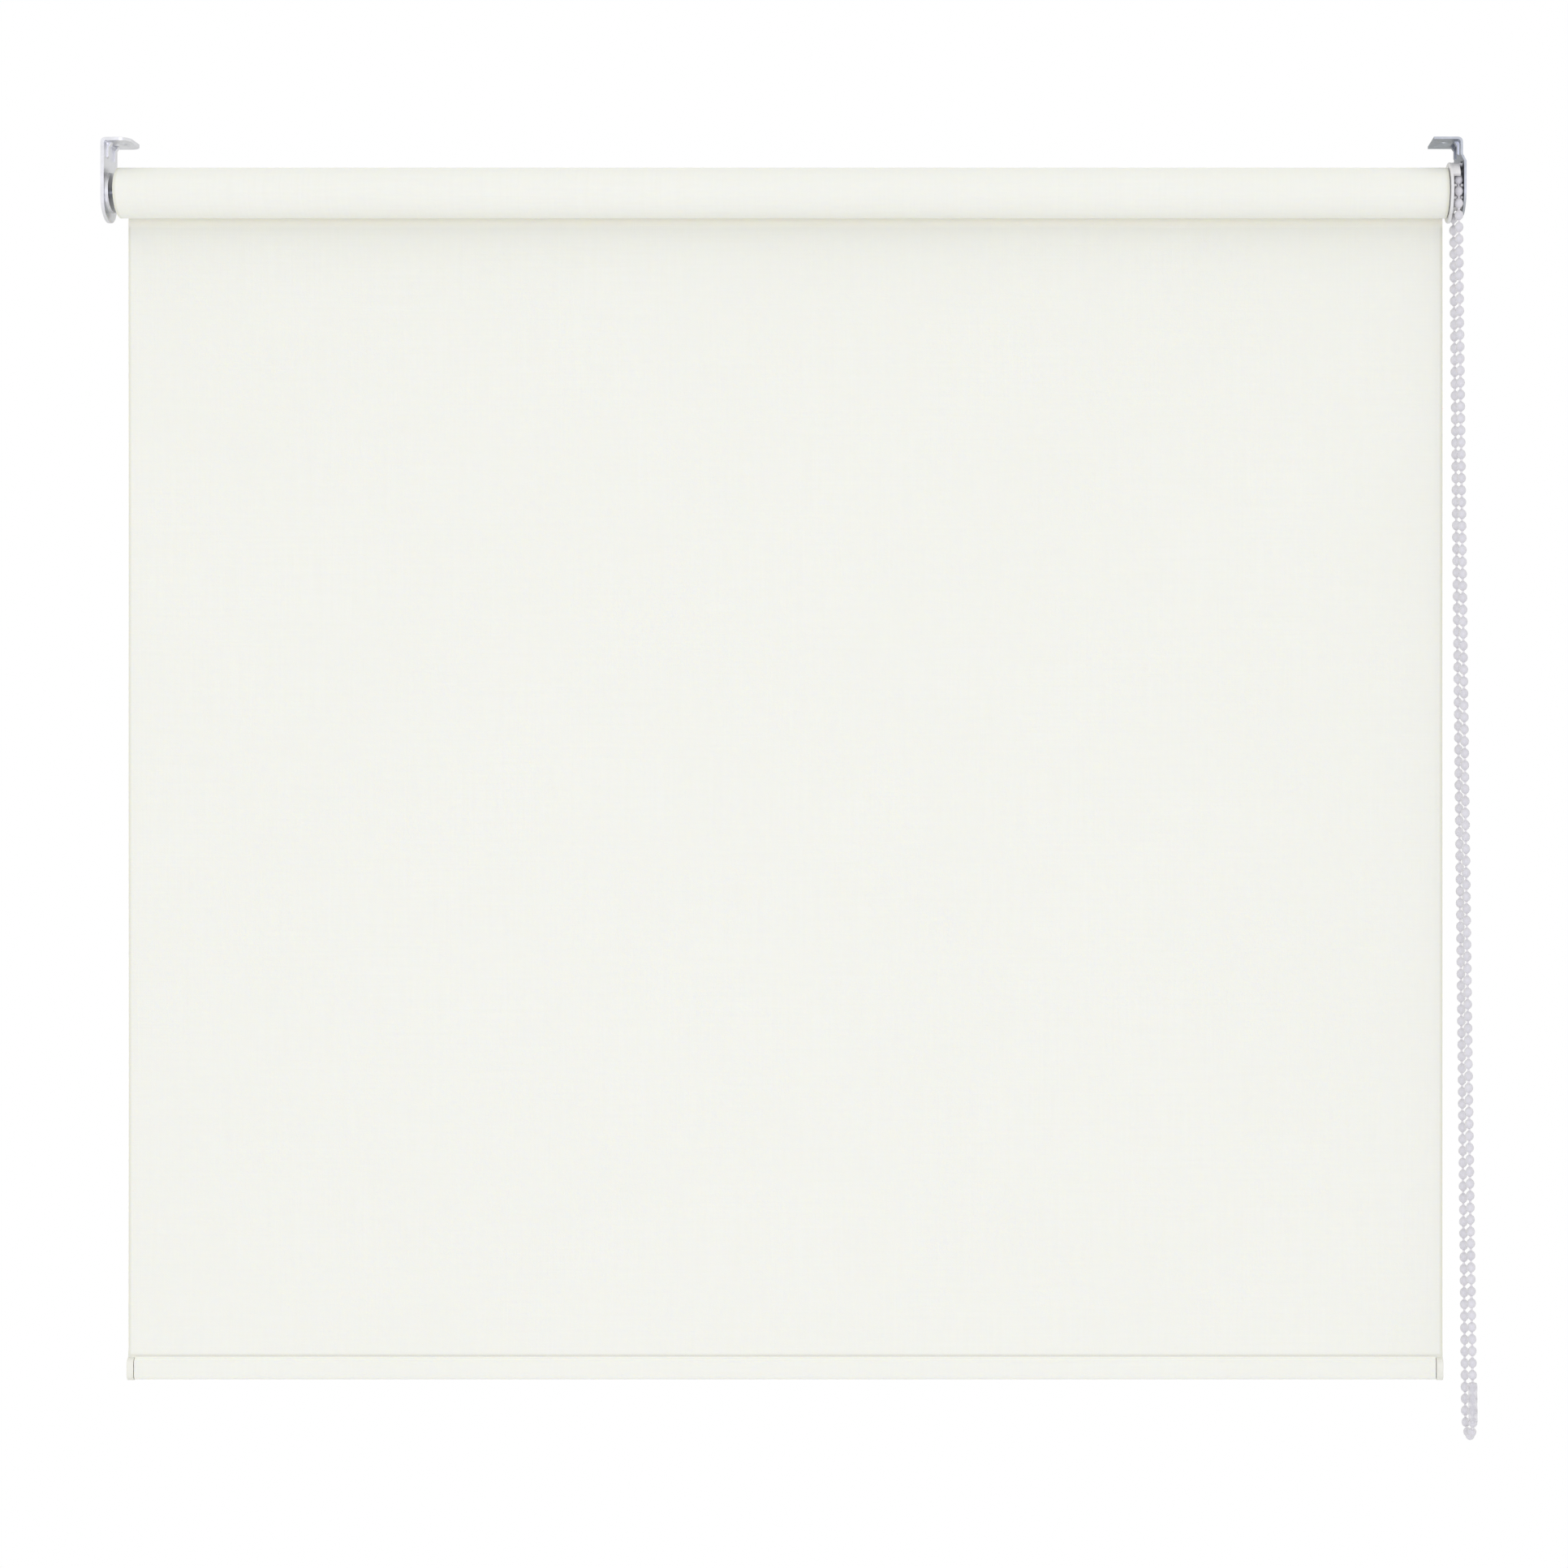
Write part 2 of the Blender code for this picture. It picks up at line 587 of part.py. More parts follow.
def make_idle_end(materials, roller, pin_axis):
    plug = finish_mesh("idle_plug", keyed_plug(PLUG_X, PLUG_END_X), materials["grey_plastic"], roller)
    chamber_x = COLLAR_X - GAP
    bore = [
        (PLUG_X - EMBED, 0.0),
        (PLUG_X - EMBED, PIN_RADIUS + GAP),
        (chamber_x, PIN_RADIUS + GAP),
        (chamber_x, CHAMBER_RADIUS),
        (PLUG_END_X + EMBED, CHAMBER_RADIUS),
        (PLUG_END_X + EMBED, 0.0),
    ]
    combine(plug, turned(bore, SMALL_SEGMENTS), "DIFFERENCE", roller)

    tip_x = LEFT_OUTER_X + PIN_TIP_RECESS
    chamfer = PIN_RADIUS / 4
    pin = [
        (tip_x, 0.0),
        (tip_x, PIN_RADIUS - chamfer),
        (tip_x + chamfer, PIN_RADIUS),
        (COLLAR_X, PIN_RADIUS),
        (COLLAR_X, PIN_COLLAR_RADIUS),
        (STEM_X, PIN_COLLAR_RADIUS),
        (STEM_X, PIN_STEM_RADIUS),
        (STEM_X + PIN_STEM_LENGTH, PIN_STEM_RADIUS),
        (STEM_X + PIN_STEM_LENGTH, 0.0),
    ]
    finish_mesh("idle_pin", turned(pin, SMALL_SEGMENTS), materials["zinc_steel"], pin_axis)

    spring_start = STEM_X + GAP + IDLE_SPRING_WIRE / 2
    spring_end = SEAT_X - GAP - IDLE_SPRING_WIRE / 2
    pitch = (spring_end - spring_start) / IDLE_SPRING_TURNS
    points = coil(spring_start, pitch, IDLE_SPRING_RADIUS, IDLE_SPRING_TURNS, 0.0, 14)
    make_spring("idle_spring", points, IDLE_SPRING_WIRE, materials["spring_steel"], roller)

    seat = rod(SEAT_X, SEAT_X + SEAT_THICKNESS, CHAMBER_RADIUS - GAP)
    finish_mesh("idle_spring_seat", seat, materials["grey_plastic"], roller)


# Drive end -----------------------------------------------------------------------------------


def guard_peg_place(angle):
    """Where a guard peg crosses the (y, z) plane, from the roller axis."""
    middle = GUARD_RADIUS - GUARD_CAP_THICKNESS / 2
    return -middle * math.cos(angle), middle * math.sin(angle)


def make_spindle(materials, axis):
    """The fixed shaft: square plug, wheel journal, spring drum, tail and clip groove."""
    groove_high = ADAPTOR_END_X - GAP / 3
    groove_low = groove_high - CLIP_THICKNESS - 2 * GAP
    groove_radius = TAIL_RADIUS - CLIP_GROOVE_DEPTH
    shoulder_x = WHEEL_END_X + GAP / 2
    profile = [
        (TAIL_END_X, 0.0),
        (TAIL_END_X, TAIL_RADIUS - GAP),
        (TAIL_END_X + GAP, TAIL_RADIUS),
        (groove_low, TAIL_RADIUS),
        (groove_low, groove_radius),
        (groove_high, groove_radius),
        (groove_high, TAIL_RADIUS),
        (SLEEVE_END_X, TAIL_RADIUS),
        (SLEEVE_END_X, DRUM_RADIUS),
        (WHEEL_X - GAP, DRUM_RADIUS),
        (WHEEL_X - GAP, JOURNAL_RADIUS),
        (shoulder_x, JOURNAL_RADIUS),
        (shoulder_x, 0.0),
    ]
    spindle = finish_mesh("drive_spindle", turned(profile), materials["grey_plastic"], axis)
    half = SQUARE_SIDE / 2
    square = [(-half, -half), (half, -half), (half, half), (-half, half)]
    plug = prism(square, WHEEL_END_X + GAP / 4, RIGHT_OUTER_X + SQUARE_PROUD)
    combine(spindle, plug, "UNION", axis)

    clip_x = groove_low + GAP
    opening = math.radians(35.0)
    outside = arc((0.0, 0.0), CLIP_RADIUS, opening, 2 * math.pi - opening, 20)
    inside = arc((0.0, 0.0), groove_radius + GAP, 2 * math.pi - opening, opening, 20)
    clip = prism(outside + inside, clip_x, clip_x + CLIP_THICKNESS)
    finish_mesh("retaining_clip", clip, materials["spring_steel"], axis)


def pocket_angles():
    return [FIRST_POCKET_ANGLE + 2 * math.pi * i / POCKETS for i in range(POCKETS)]


def toward_front(radius, angle):
    """(y, z) at an angle that is 0 at the front, -Y, and 90 degrees at the top."""
    return -radius * math.cos(angle), radius * math.sin(angle)


def wheel_outline():
    """Ten open pockets between short teeth, in (y, z)."""
    tip = PITCH_RADIUS + TOOTH_ABOVE_PITCH
    points = []
    for angle in pocket_angles():
        along = Vector((math.cos(angle), math.sin(angle)))
        across = Vector((-along.y, along.x))
        centre = along * PITCH_RADIUS
        lip = math.sqrt(tip**2 - POCKET_RADIUS**2)
        points.append(along * lip - across * POCKET_RADIUS)
        for i in range(POCKET_STEPS + 1):
            turn = math.pi * i / POCKET_STEPS
            points.append(centre - (across * math.cos(turn) + along * math.sin(turn)) * POCKET_RADIUS)
        points.append(along * lip + across * POCKET_RADIUS)
    return [(-point.x, point.y) for point in points]


def make_chain_wheel(materials, axis):
    wheel = finish_mesh(
        "chain_wheel", prism(wheel_outline(), WHEEL_X, WHEEL_END_X), materials["white_plastic"], axis
    )
    half_groove = STRING_GROOVE_WIDTH / 2
    floor = PITCH_RADIUS * math.cos(math.pi / POCKETS) - STRING_RADIUS - GAP
    groove = sleeve(
        circle(PITCH_RADIUS + BEAD_RADIUS, ROUND_SEGMENTS),
        circle(floor, ROUND_SEGMENTS),
        BEAD_PLANE_X - half_groove,
        BEAD_PLANE_X + half_groove,
    )
    combine(wheel, groove, "DIFFERENCE", axis)
    top = math.pi / 2
    outside = arc((0.0, 0.0), SLEEVE_RADIUS, top + SLOT_HALF_ANGLE, top - SLOT_HALF_ANGLE + 2 * math.pi, 30)
    middle = (SLEEVE_RADIUS + DRUM_RADIUS) / 2 - SLEEVE_WALL
    inside = arc((0.0, 0.0), middle, top - SLOT_HALF_ANGLE + 2 * math.pi, top + SLOT_HALF_ANGLE, 30)
    combine(wheel, prism(outside + inside, SLEEVE_END_X, WHEEL_X + EMBED), "UNION", axis)
    bore = rod(SLEEVE_END_X - EMBED, WHEEL_END_X + EMBED, SLEEVE_BORE, ROUND_SEGMENTS)
    combine(wheel, bore, "DIFFERENCE", axis)


def make_clutch_springs(materials, axis):
    """Two wrap springs on the drum, each with both tangs in the sleeve's slot."""
    radius = DRUM_RADIUS + GAP + CLUTCH_WIRE / 2
    length = CLUTCH_TURNS * CLUTCH_PITCH + CLUTCH_WIRE + 2 * GAP
    first_x = SLEEVE_END_X + 2 * GAP + FIN_WIDTH
    steps = 18
    turns = CLUTCH_TURNS - 2 * TANG_ANGLE / (2 * math.pi)
    for i, name in enumerate(("clutch_spring_a", "clutch_spring_b")):
        start_x = first_x + i * length
        points = coil(start_x, CLUTCH_PITCH * CLUTCH_TURNS / turns, radius, turns, TANG_ANGLE, steps)
        ends = []
        for place in (points[0], points[-1]):
            out = Vector((0.0, place[1], place[2])).normalized() * TANG_REACH
            ends.append((place[0], place[1] + out.y, place[2] + out.z))
        wire_path = [ends[0]] + points + [ends[1]]
        make_spring(name, wire_path, CLUTCH_WIRE, materials["spring_steel"], axis)


def make_adaptor(materials, roller):
    """The hub that the springs drive, keyed into the tube."""
    adaptor = finish_mesh(
        "tube_adaptor", keyed_plug(ADAPTOR_END_X, ADAPTOR_X), materials["grey_plastic"], roller
    )
    bore = [
        (ADAPTOR_END_X - EMBED, 0.0),
        (ADAPTOR_END_X - EMBED, TAIL_RADIUS + GAP),
        (WEB_X, TAIL_RADIUS + GAP),
        (WEB_X, ADAPTOR_BORE),
        (ADAPTOR_X + EMBED, ADAPTOR_BORE),
        (ADAPTOR_X + EMBED, 0.0),
    ]
    combine(adaptor, turned(bore), "DIFFERENCE", roller)
    low = DRUM_RADIUS + CLUTCH_WIRE + 2 * GAP
    half = FIN_WIDTH / 2
    fin = [(-half, low), (half, low), (half, ADAPTOR_BORE + EMBED), (-half, ADAPTOR_BORE + EMBED)]
    combine(adaptor, prism(fin, WEB_X - EMBED, ADAPTOR_X - EMBED), "UNION", roller)


def make_guard(materials, axis):
    """The fixed inner wall with its cap over the wheel and two pegs into the bracket."""
    wall_end = GUARD_X + GUARD_WALL
    edge = GUARD_WALL / 4
    wall = [
        (GUARD_X, SLEEVE_RADIUS + GAP),
        (GUARD_X, GUARD_RADIUS - edge),
        (GUARD_X + edge, GUARD_RADIUS),
        (wall_end, GUARD_RADIUS),
        (wall_end, SLEEVE_RADIUS + GAP),
    ]
    guard = finish_mesh("chain_guard", turned(wall, ROUND_SEGMENTS, True), materials["white_plastic"], axis)
    start, end = math.pi - GUARD_CAP_START, math.pi - GUARD_CAP_END
    outside = arc((0.0, 0.0), GUARD_RADIUS - EMBED / 4, start, end, 18)
    inside = arc((0.0, 0.0), GUARD_RADIUS - GUARD_CAP_THICKNESS, end, start, 18)
    cap_end = wall_end + GUARD_CAP_LENGTH
    combine(guard, prism(outside + inside, wall_end - EMBED, cap_end), "UNION", axis)
    for angle in GUARD_PEG_ANGLES:
        y, z = guard_peg_place(angle)
        radius = min(GUARD_PEG_RADIUS, GUARD_CAP_THICKNESS / 2 - EMBED / 4)
        peg = rod(cap_end - EMBED, RIGHT_OUTER_X, radius, 12, (0.0, y, z))
        combine(guard, peg, "UNION", axis)


# Chain ---------------------------------------------------------------------------------------


def wheel_bead_places():
    """Bead centres over the wheel, rear strand to front strand, as (y, z) from the axis."""
    wrapped = [toward_front(PITCH_RADIUS, angle) for angle in reversed(pocket_angles()[:6])]
    rear = (PITCH_RADIUS, wrapped[0][1] - BEAD_PITCH)
    front = (-PITCH_RADIUS, wrapped[-1][1] - BEAD_PITCH)
    return [rear] + wrapped + [front]


def make_chain_on_wheel(materials, axis):
    """The beads that lie in the wheel, strung on their cord."""
    places = [Vector((BEAD_PLANE_X, y, z)) for y, z in wheel_bead_places()]
    string = bpy.data.curves.new("chain_on_wheel", "CURVE")
    string.dimensions = "3D"
    string.bevel_depth = 1.0
    string.bevel_resolution = 1
    string.use_fill_caps = True
    path = []
    for before, here, after in zip(places[:1] + places, places, places[1:] + places[-1:]):
        way = ((after - here).normalized() + (here - before).normalized()).normalized()
        for turn in (-75, -50, -25, 0, 25, 50, 75):
            angle = math.radians(turn)
            path.append((here + way * BEAD_RADIUS * math.sin(angle), BEAD_RADIUS * math.cos(angle)))
    spline = string.splines.new("POLY")
    spline.points.add(len(path) - 1)
    for spot, (place, radius) in zip(spline.points, path):
        spot.co = (*place, 1.0)
        spot.radius = radius
    add_object("chain_on_wheel", string, materials["chain_bead"], axis)


def smooth_route(route):
    """Points on a smooth curve through the route's own points."""
    spots = [Vector(place) for place in route]
    ends = [spots[0] * 2 - spots[1]] + spots + [spots[-1] * 2 - spots[-2]]
    points = []
    for before, here, after, beyond in zip(ends, ends[1:], ends[2:], ends[3:]):
        for step in range(ROUTE_STEPS):
            t = step / ROUTE_STEPS
            points.append(
                here
                + (after - before) * (t / 2)
                + (before * 2 - here * 5 + after * 4 - beyond) * (t * t / 2)
                + (here * 3 - before - after * 3 + beyond) * (t**3 / 2)
            )
    return points + [spots[-1]]


def make_free_chain(materials):
    for name, route in (("chain_front", FRONT_ROUTE), ("chain_rear", REAR_ROUTE)):
        curve = bpy.data.curves.new(name, "CURVE")
        curve.dimensions = "3D"
        curve.bevel_depth = CHAIN_RADIUS
        curve.bevel_resolution = 2
        curve.use_fill_caps = True
        points = smooth_route(route)
        spline = curve.splines.new("POLY")
        spline.points.add(len(points) - 1)
        for spot, place in zip(spline.points, points):
            spot.co = (*place, 1.0)
        add_object(name, curve, materials["chain_bead"])


def make_connector(materials):
    """The clip that joins the two ends of the chain."""
    top = Vector(FRONT_ROUTE[-1])
    bottom = Vector(REAR_ROUTE[0])
    length = (top - bottom).length - 2 * CONNECTOR_GAP
    low, high = -length / 2, length / 2
    edge = CONNECTOR_RADIUS - CONNECTOR_WAIST
    profile = [
        (low, 0.0),
        (low, CONNECTOR_WAIST),
        (low + edge, CONNECTOR_RADIUS),
        (-3 * edge, CONNECTOR_RADIUS),
        (-edge, CONNECTOR_WAIST),
        (edge, CONNECTOR_WAIST),
        (3 * edge, CONNECTOR_RADIUS),
        (high - edge, CONNECTOR_RADIUS),
        (high, CONNECTOR_WAIST),
        (high, 0.0),
    ]
    connector = finish_mesh("chain_connector", turned(profile, 12, False, "Z"), materials["clear_plastic"])
    lean = (top - bottom).to_track_quat("Z", "Y")
    connector.matrix_world = Matrix.Translation((top + bottom) / 2) @ lean.to_matrix().to_4x4()


def build():
    clear_scene()
    materials = make_materials()
    fixed = axis_empty("fixed_axis")
    roller = axis_empty("roller_axis")
    wheel = axis_empty("wheel_axis")
    pin = axis_empty("pin_axis")
    make_left_bracket(materials)
    make_right_bracket(materials)
    make_roller(materials, roller)
    make_sheet(materials)
    make_bottom_rail(materials)
    make_idle_end(materials, roller, pin)
    make_spindle(materials, fixed)
    make_chain_wheel(materials, wheel)
    make_clutch_springs(materials, wheel)
    make_adaptor(materials, roller)
    make_guard(materials, fixed)
    make_chain_on_wheel(materials, fixed)
    make_free_chain(materials)
    make_connector(materials)


build()
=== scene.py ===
"""Looks of the lowered roller blind: fabric, bead chain, plated brackets, plastics, light, camera.

Metres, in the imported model's frame: +X to the chain side, +Y to the wall behind, +Z up.
"""

import json
import math

import bmesh
import bpy
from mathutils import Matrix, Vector


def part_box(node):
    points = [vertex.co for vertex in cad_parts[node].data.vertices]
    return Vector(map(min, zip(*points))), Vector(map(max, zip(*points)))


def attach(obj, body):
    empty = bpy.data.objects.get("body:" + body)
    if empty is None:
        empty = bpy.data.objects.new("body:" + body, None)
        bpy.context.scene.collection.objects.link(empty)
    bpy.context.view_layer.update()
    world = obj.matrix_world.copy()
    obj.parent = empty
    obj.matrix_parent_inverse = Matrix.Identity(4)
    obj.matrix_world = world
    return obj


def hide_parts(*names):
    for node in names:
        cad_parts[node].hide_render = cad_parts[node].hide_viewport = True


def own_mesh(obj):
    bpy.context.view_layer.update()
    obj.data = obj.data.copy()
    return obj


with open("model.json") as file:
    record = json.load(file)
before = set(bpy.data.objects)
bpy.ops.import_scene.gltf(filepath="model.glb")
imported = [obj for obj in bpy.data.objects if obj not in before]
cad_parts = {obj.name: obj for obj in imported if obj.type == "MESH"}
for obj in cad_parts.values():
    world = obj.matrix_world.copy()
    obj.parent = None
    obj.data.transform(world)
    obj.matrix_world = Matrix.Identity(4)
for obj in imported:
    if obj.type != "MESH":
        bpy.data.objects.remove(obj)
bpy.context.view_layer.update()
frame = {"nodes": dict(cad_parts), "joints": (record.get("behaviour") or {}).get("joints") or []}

# Places and sizes read from the frame
ROLL_LOW, ROLL_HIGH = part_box("fabric_roll")
SHEET_LOW, SHEET_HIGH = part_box("fabric_sheet")
HEM_LOW, HEM_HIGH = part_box("hem_pocket")
TUBE_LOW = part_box("roller_tube")[0]
ON_WHEEL_LOW, ON_WHEEL_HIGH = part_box("chain_on_wheel")
AXIS_Z = next(j["pos_m"][2] for j in frame["joints"] if j["name"] == "roller_spin")
ROLL_RADIUS = (ROLL_HIGH.z - ROLL_LOW.z) / 2
TUBE_RADIUS = AXIS_Z - TUBE_LOW.z
SHEET_Y = (SHEET_LOW.y + SHEET_HIGH.y) / 2

# Camera
CAMERA_PLACE = (0.125, -1.476, -0.3245)
CAMERA_LENS = 67.08
CAMERA_SENSOR = 36.0
CAMERA_SHIFT = -0.1573
CAMERA_NEAR = 0.01

# Lights and floor. The bluish lamps are set so that the cloth's tone agrees with the photo
LIGHT_COLOUR = (0.75, 0.74, 1.0)
LIGHT_SIZE = 0.8
SOFTBOX_PLACE = (0.0, -2.0, -0.10)
SOFTBOX_TARGET = (0.0, 0.0, -0.3)
SOFTBOX_WATTS = 7.2
FILL_PLACE = (0.0, -1.3, -1.05)
FILL_TARGET = (0.0, 0.0, -0.05)
FILL_WATTS = 2.4
FLOOR_SIZE = 1.6
FLOOR_CELLS = 8
FLOOR_Z = -1.25

# Mesh tools
SHARP_ANGLE = math.radians(35.0)
CLOTH_SHARP_ANGLE = math.radians(50.0)
MERGE_DISTANCE = 1e-6
FLAT_ANGLE = math.radians(1.0)
ROUNDED_ANGLE = math.radians(40.0)
ROUNDED_SEGMENTS = 2

# Fabric
CLOTH = 0.00036
YARN = 0.00042
FABRIC_GLOW = 0.6
CLOTH_DARK = (0.790, 0.796, 0.722)
CLOTH_LIGHT = (0.800, 0.806, 0.734)
YARN_TONE = (0.785, 0.790, 0.712)
# Darker strip along both side edges: partly the cut edge's own tone, partly painted shade where
# the edge curls back
CUT_EDGE_AND_CURL_SHADE_TONE = (0.68, 0.68, 0.56)
CUT_EDGE_AND_CURL_SHADE_SHARE = 0.75
EDGE_AND_CURL_SHADE_START = 0.0018
EDGE_AND_CURL_SHADE_FULL = 0.0006
# Darker band at the weld above the hem: partly the welded cloth's own tone, partly painted shade
# of the weld's crease
WELD_AND_CREASE_SHADE_TONE = (0.70, 0.70, 0.62)
# Painted highlight on the hem's shoulder, where its top catches the light
HEM_SHOULDER_HIGHLIGHT_TONE = (0.86, 0.868, 0.785)
# Painted light on the cloth just under the roll, lightening its rendered shadow
PAINTED_LIGHT_UNDER_ROLL_TONE = (0.90, 0.89, 0.79)
PAINTED_LIGHT_UNDER_ROLL_DEPTH = 0.0140
WELD_AND_CREASE_SHADE_SHARE = 0.75
WELD_ABOVE_HEM = 0.0009
BAND_SOFT = 0.0003
CURL_WIDTH = 0.005
CURL_DEPTH = 0.0009
BROAD_WAVE = 0.00035
FINE_WAVE = 0.00022
TUCK = 0.0009
SHEET_ROWS = 150
SHEET_COLUMNS = 96
EVEN_COLUMNS = 0.35
EASED_COLUMNS = 0.65
TURN_STEPS = 96
OUTER_TURN_COLUMNS = 48
OUTER_TURN_ANGLE = math.radians(345.0)
LEAVING_ANGLE = math.radians(38.0)
INNER_TURN_COLUMNS = 12
INNER_TURN_START = 92.0
INNER_TURN_ANGLE = 356.0
INNER_TURN_INSET = 0.0002
HEM_COLUMNS = 64
HEM_SLACK = 0.00004
SHOULDER_DROP = 0.0012
SHOULDER_EASE = 0.0002
SHOULDER_FALL = 0.0022
SHOULDER_STEPS = 6
HEM_FLOOR_STEPS = 12

# Bead chain: the same route as the plain solids, front strand first
FRONT_ROUTE = (
    (0.33990, -0.00970, -0.0355),
    (0.34040, -0.00970, -0.0900),
    (0.34125, -0.00970, -0.1700),
    (0.34215, -0.00970, -0.2500),
    (0.34308, -0.00970, -0.3300),
    (0.34404, -0.00970, -0.4100),
    (0.34503, -0.00970, -0.4900),
    (0.34594, -0.00970, -0.5600),
    (0.34683, -0.00970, -0.6267),
)
REAR_ROUTE = (
    (0.34697, -0.00970, -0.6433),
    (0.34698, -0.00940, -0.6461),
    (0.34694, -0.00795, -0.6493),
    (0.34680, -0.00440, -0.6524),
    (0.34655, 0.00000, -0.6535),
    (0.34630, 0.00440, -0.6524),
    (0.34612, 0.00795, -0.6493),
    (0.34602, 0.00955, -0.6454),
    (0.34590, 0.00970, -0.6350),
    (0.34520, 0.00970, -0.5600),
    (0.34448, 0.00970, -0.4900),
    (0.34365, 0.00970, -0.4100),
    (0.34280, 0.00970, -0.3300),
    (0.34198, 0.00970, -0.2500),
    (0.34117, 0.00970, -0.1700),
    (0.34040, 0.00970, -0.0900),
    (0.33990, 0.00970, -0.0335),
)
ROUTE_STEPS = 10
BEAD_PITCH = 0.006
BEAD_RADIUS = 0.0022
BEAD_HALF_LENGTH = 0.00235
BEAD_COLLAR = 0.0009
BEAD_LIP = 0.00012
BEAD_LIP_SHARE = 0.8
BEAD_FULLNESS = 0.85
BEAD_STEPS = 12
BEAD_SIDES = 16
BEAD_TWIST = 0.9
STRING_RADIUS = 0.00055
STRING_SIDES = 8
POCKETS = 10
BEADS_ON_WHEEL = 6
FIRST_POCKET_ANGLE = math.radians(-6.0)
REAR_CORD_END = 0.0025
FRONT_CORD_END = 0.0024
CONNECTOR_LENGTH = 0.0196
CONNECTOR_RADIUS = 0.00248
CONNECTOR_WALL = 0.00022
CONNECTOR_WAVE = 0.00018
CONNECTOR_LIP = 0.0008
CONNECTOR_STEPS = 48
CONNECTOR_SIDES = 32
CONNECTOR_MERGE = 1e-7


# Materials -------------------------------------------------------------------------------


class Finish:
    """A node material with a Principled BSDF, built up step by step."""

    def __init__(self, name, **sockets):
        self.material = bpy.data.materials.new(name)
        self.material.use_nodes = True
        self.tree = self.material.node_tree
        self.shader = self.tree.nodes["Principled BSDF"]
        for socket, value in sockets.items():
            self.shader.inputs[socket.replace("_", " ")].default_value = value
        self.normal = None

    def node(self, kind, inputs=None, **settings):
        made = self.tree.nodes.new(kind)
        for key, value in settings.items():
            setattr(made, key, value)
        for key, value in (inputs or {}).items():
            if isinstance(value, bpy.types.NodeSocket):
                self.tree.links.new(value, made.inputs[key])
            else:
                made.inputs[key].default_value = value
        return made

    def place(self, source="Object", stretch=(1.0, 1.0, 1.0)):
        """Coordinates in metres, or a mesh's own UV in metres, stretched per axis."""
        coordinates = self.node("ShaderNodeTexCoord").outputs[source]
        return self.node("ShaderNodeMapping", {"Vector": coordinates, "Scale": stretch}).outputs[0]

    def noise(self, vector, scale, detail=3.0, roughness=0.55):
        inputs = {"Vector": vector, "Scale": scale, "Detail": detail, "Roughness": roughness}
        return self.node("ShaderNodeTexNoise", inputs).outputs["Fac"]

    def spread(self, value, low, high, start=0.3, end=0.7):
        """The span from start to end of a value, spread from low to high and held beyond."""
        ends = {"From Min": start, "From Max": end, "To Min": low, "To Max": high}
        inputs = {"Value": value, **ends}
        return self.node("ShaderNodeMapRange", inputs).outputs["Result"]

    def math(self, operation, first, second=0.0):
        return self.node("ShaderNodeMath", {0: first, 1: second}, operation=operation).outputs[0]

    def mix(self, share, first, second):
        """Colours mixed by a texture's value."""
        made = self.node("ShaderNodeMix", data_type="RGBA")
        self.tree.links.new(share, made.inputs["Factor"])
        for socket, value in (("A", first), ("B", second)):
            spot = next(i for i in made.inputs if i.name == socket and i.type == "RGBA")
            if isinstance(value, bpy.types.NodeSocket):
                self.tree.links.new(value, spot)
            else:
                spot.default_value = (*value, 1.0)
        return next(o for o in made.outputs if o.type == "RGBA")

    def set(self, socket, value):
        self.tree.links.new(value, self.shader.inputs[socket])

    def bump(self, height, distance, strength=1.0):
        inputs = {"Height": height, "Distance": distance, "Strength": strength}
        if self.normal is not None:
            inputs["Normal"] = self.normal
        self.normal = self.node("ShaderNodeBump", inputs).outputs[0]
        self.set("Normal", self.normal)


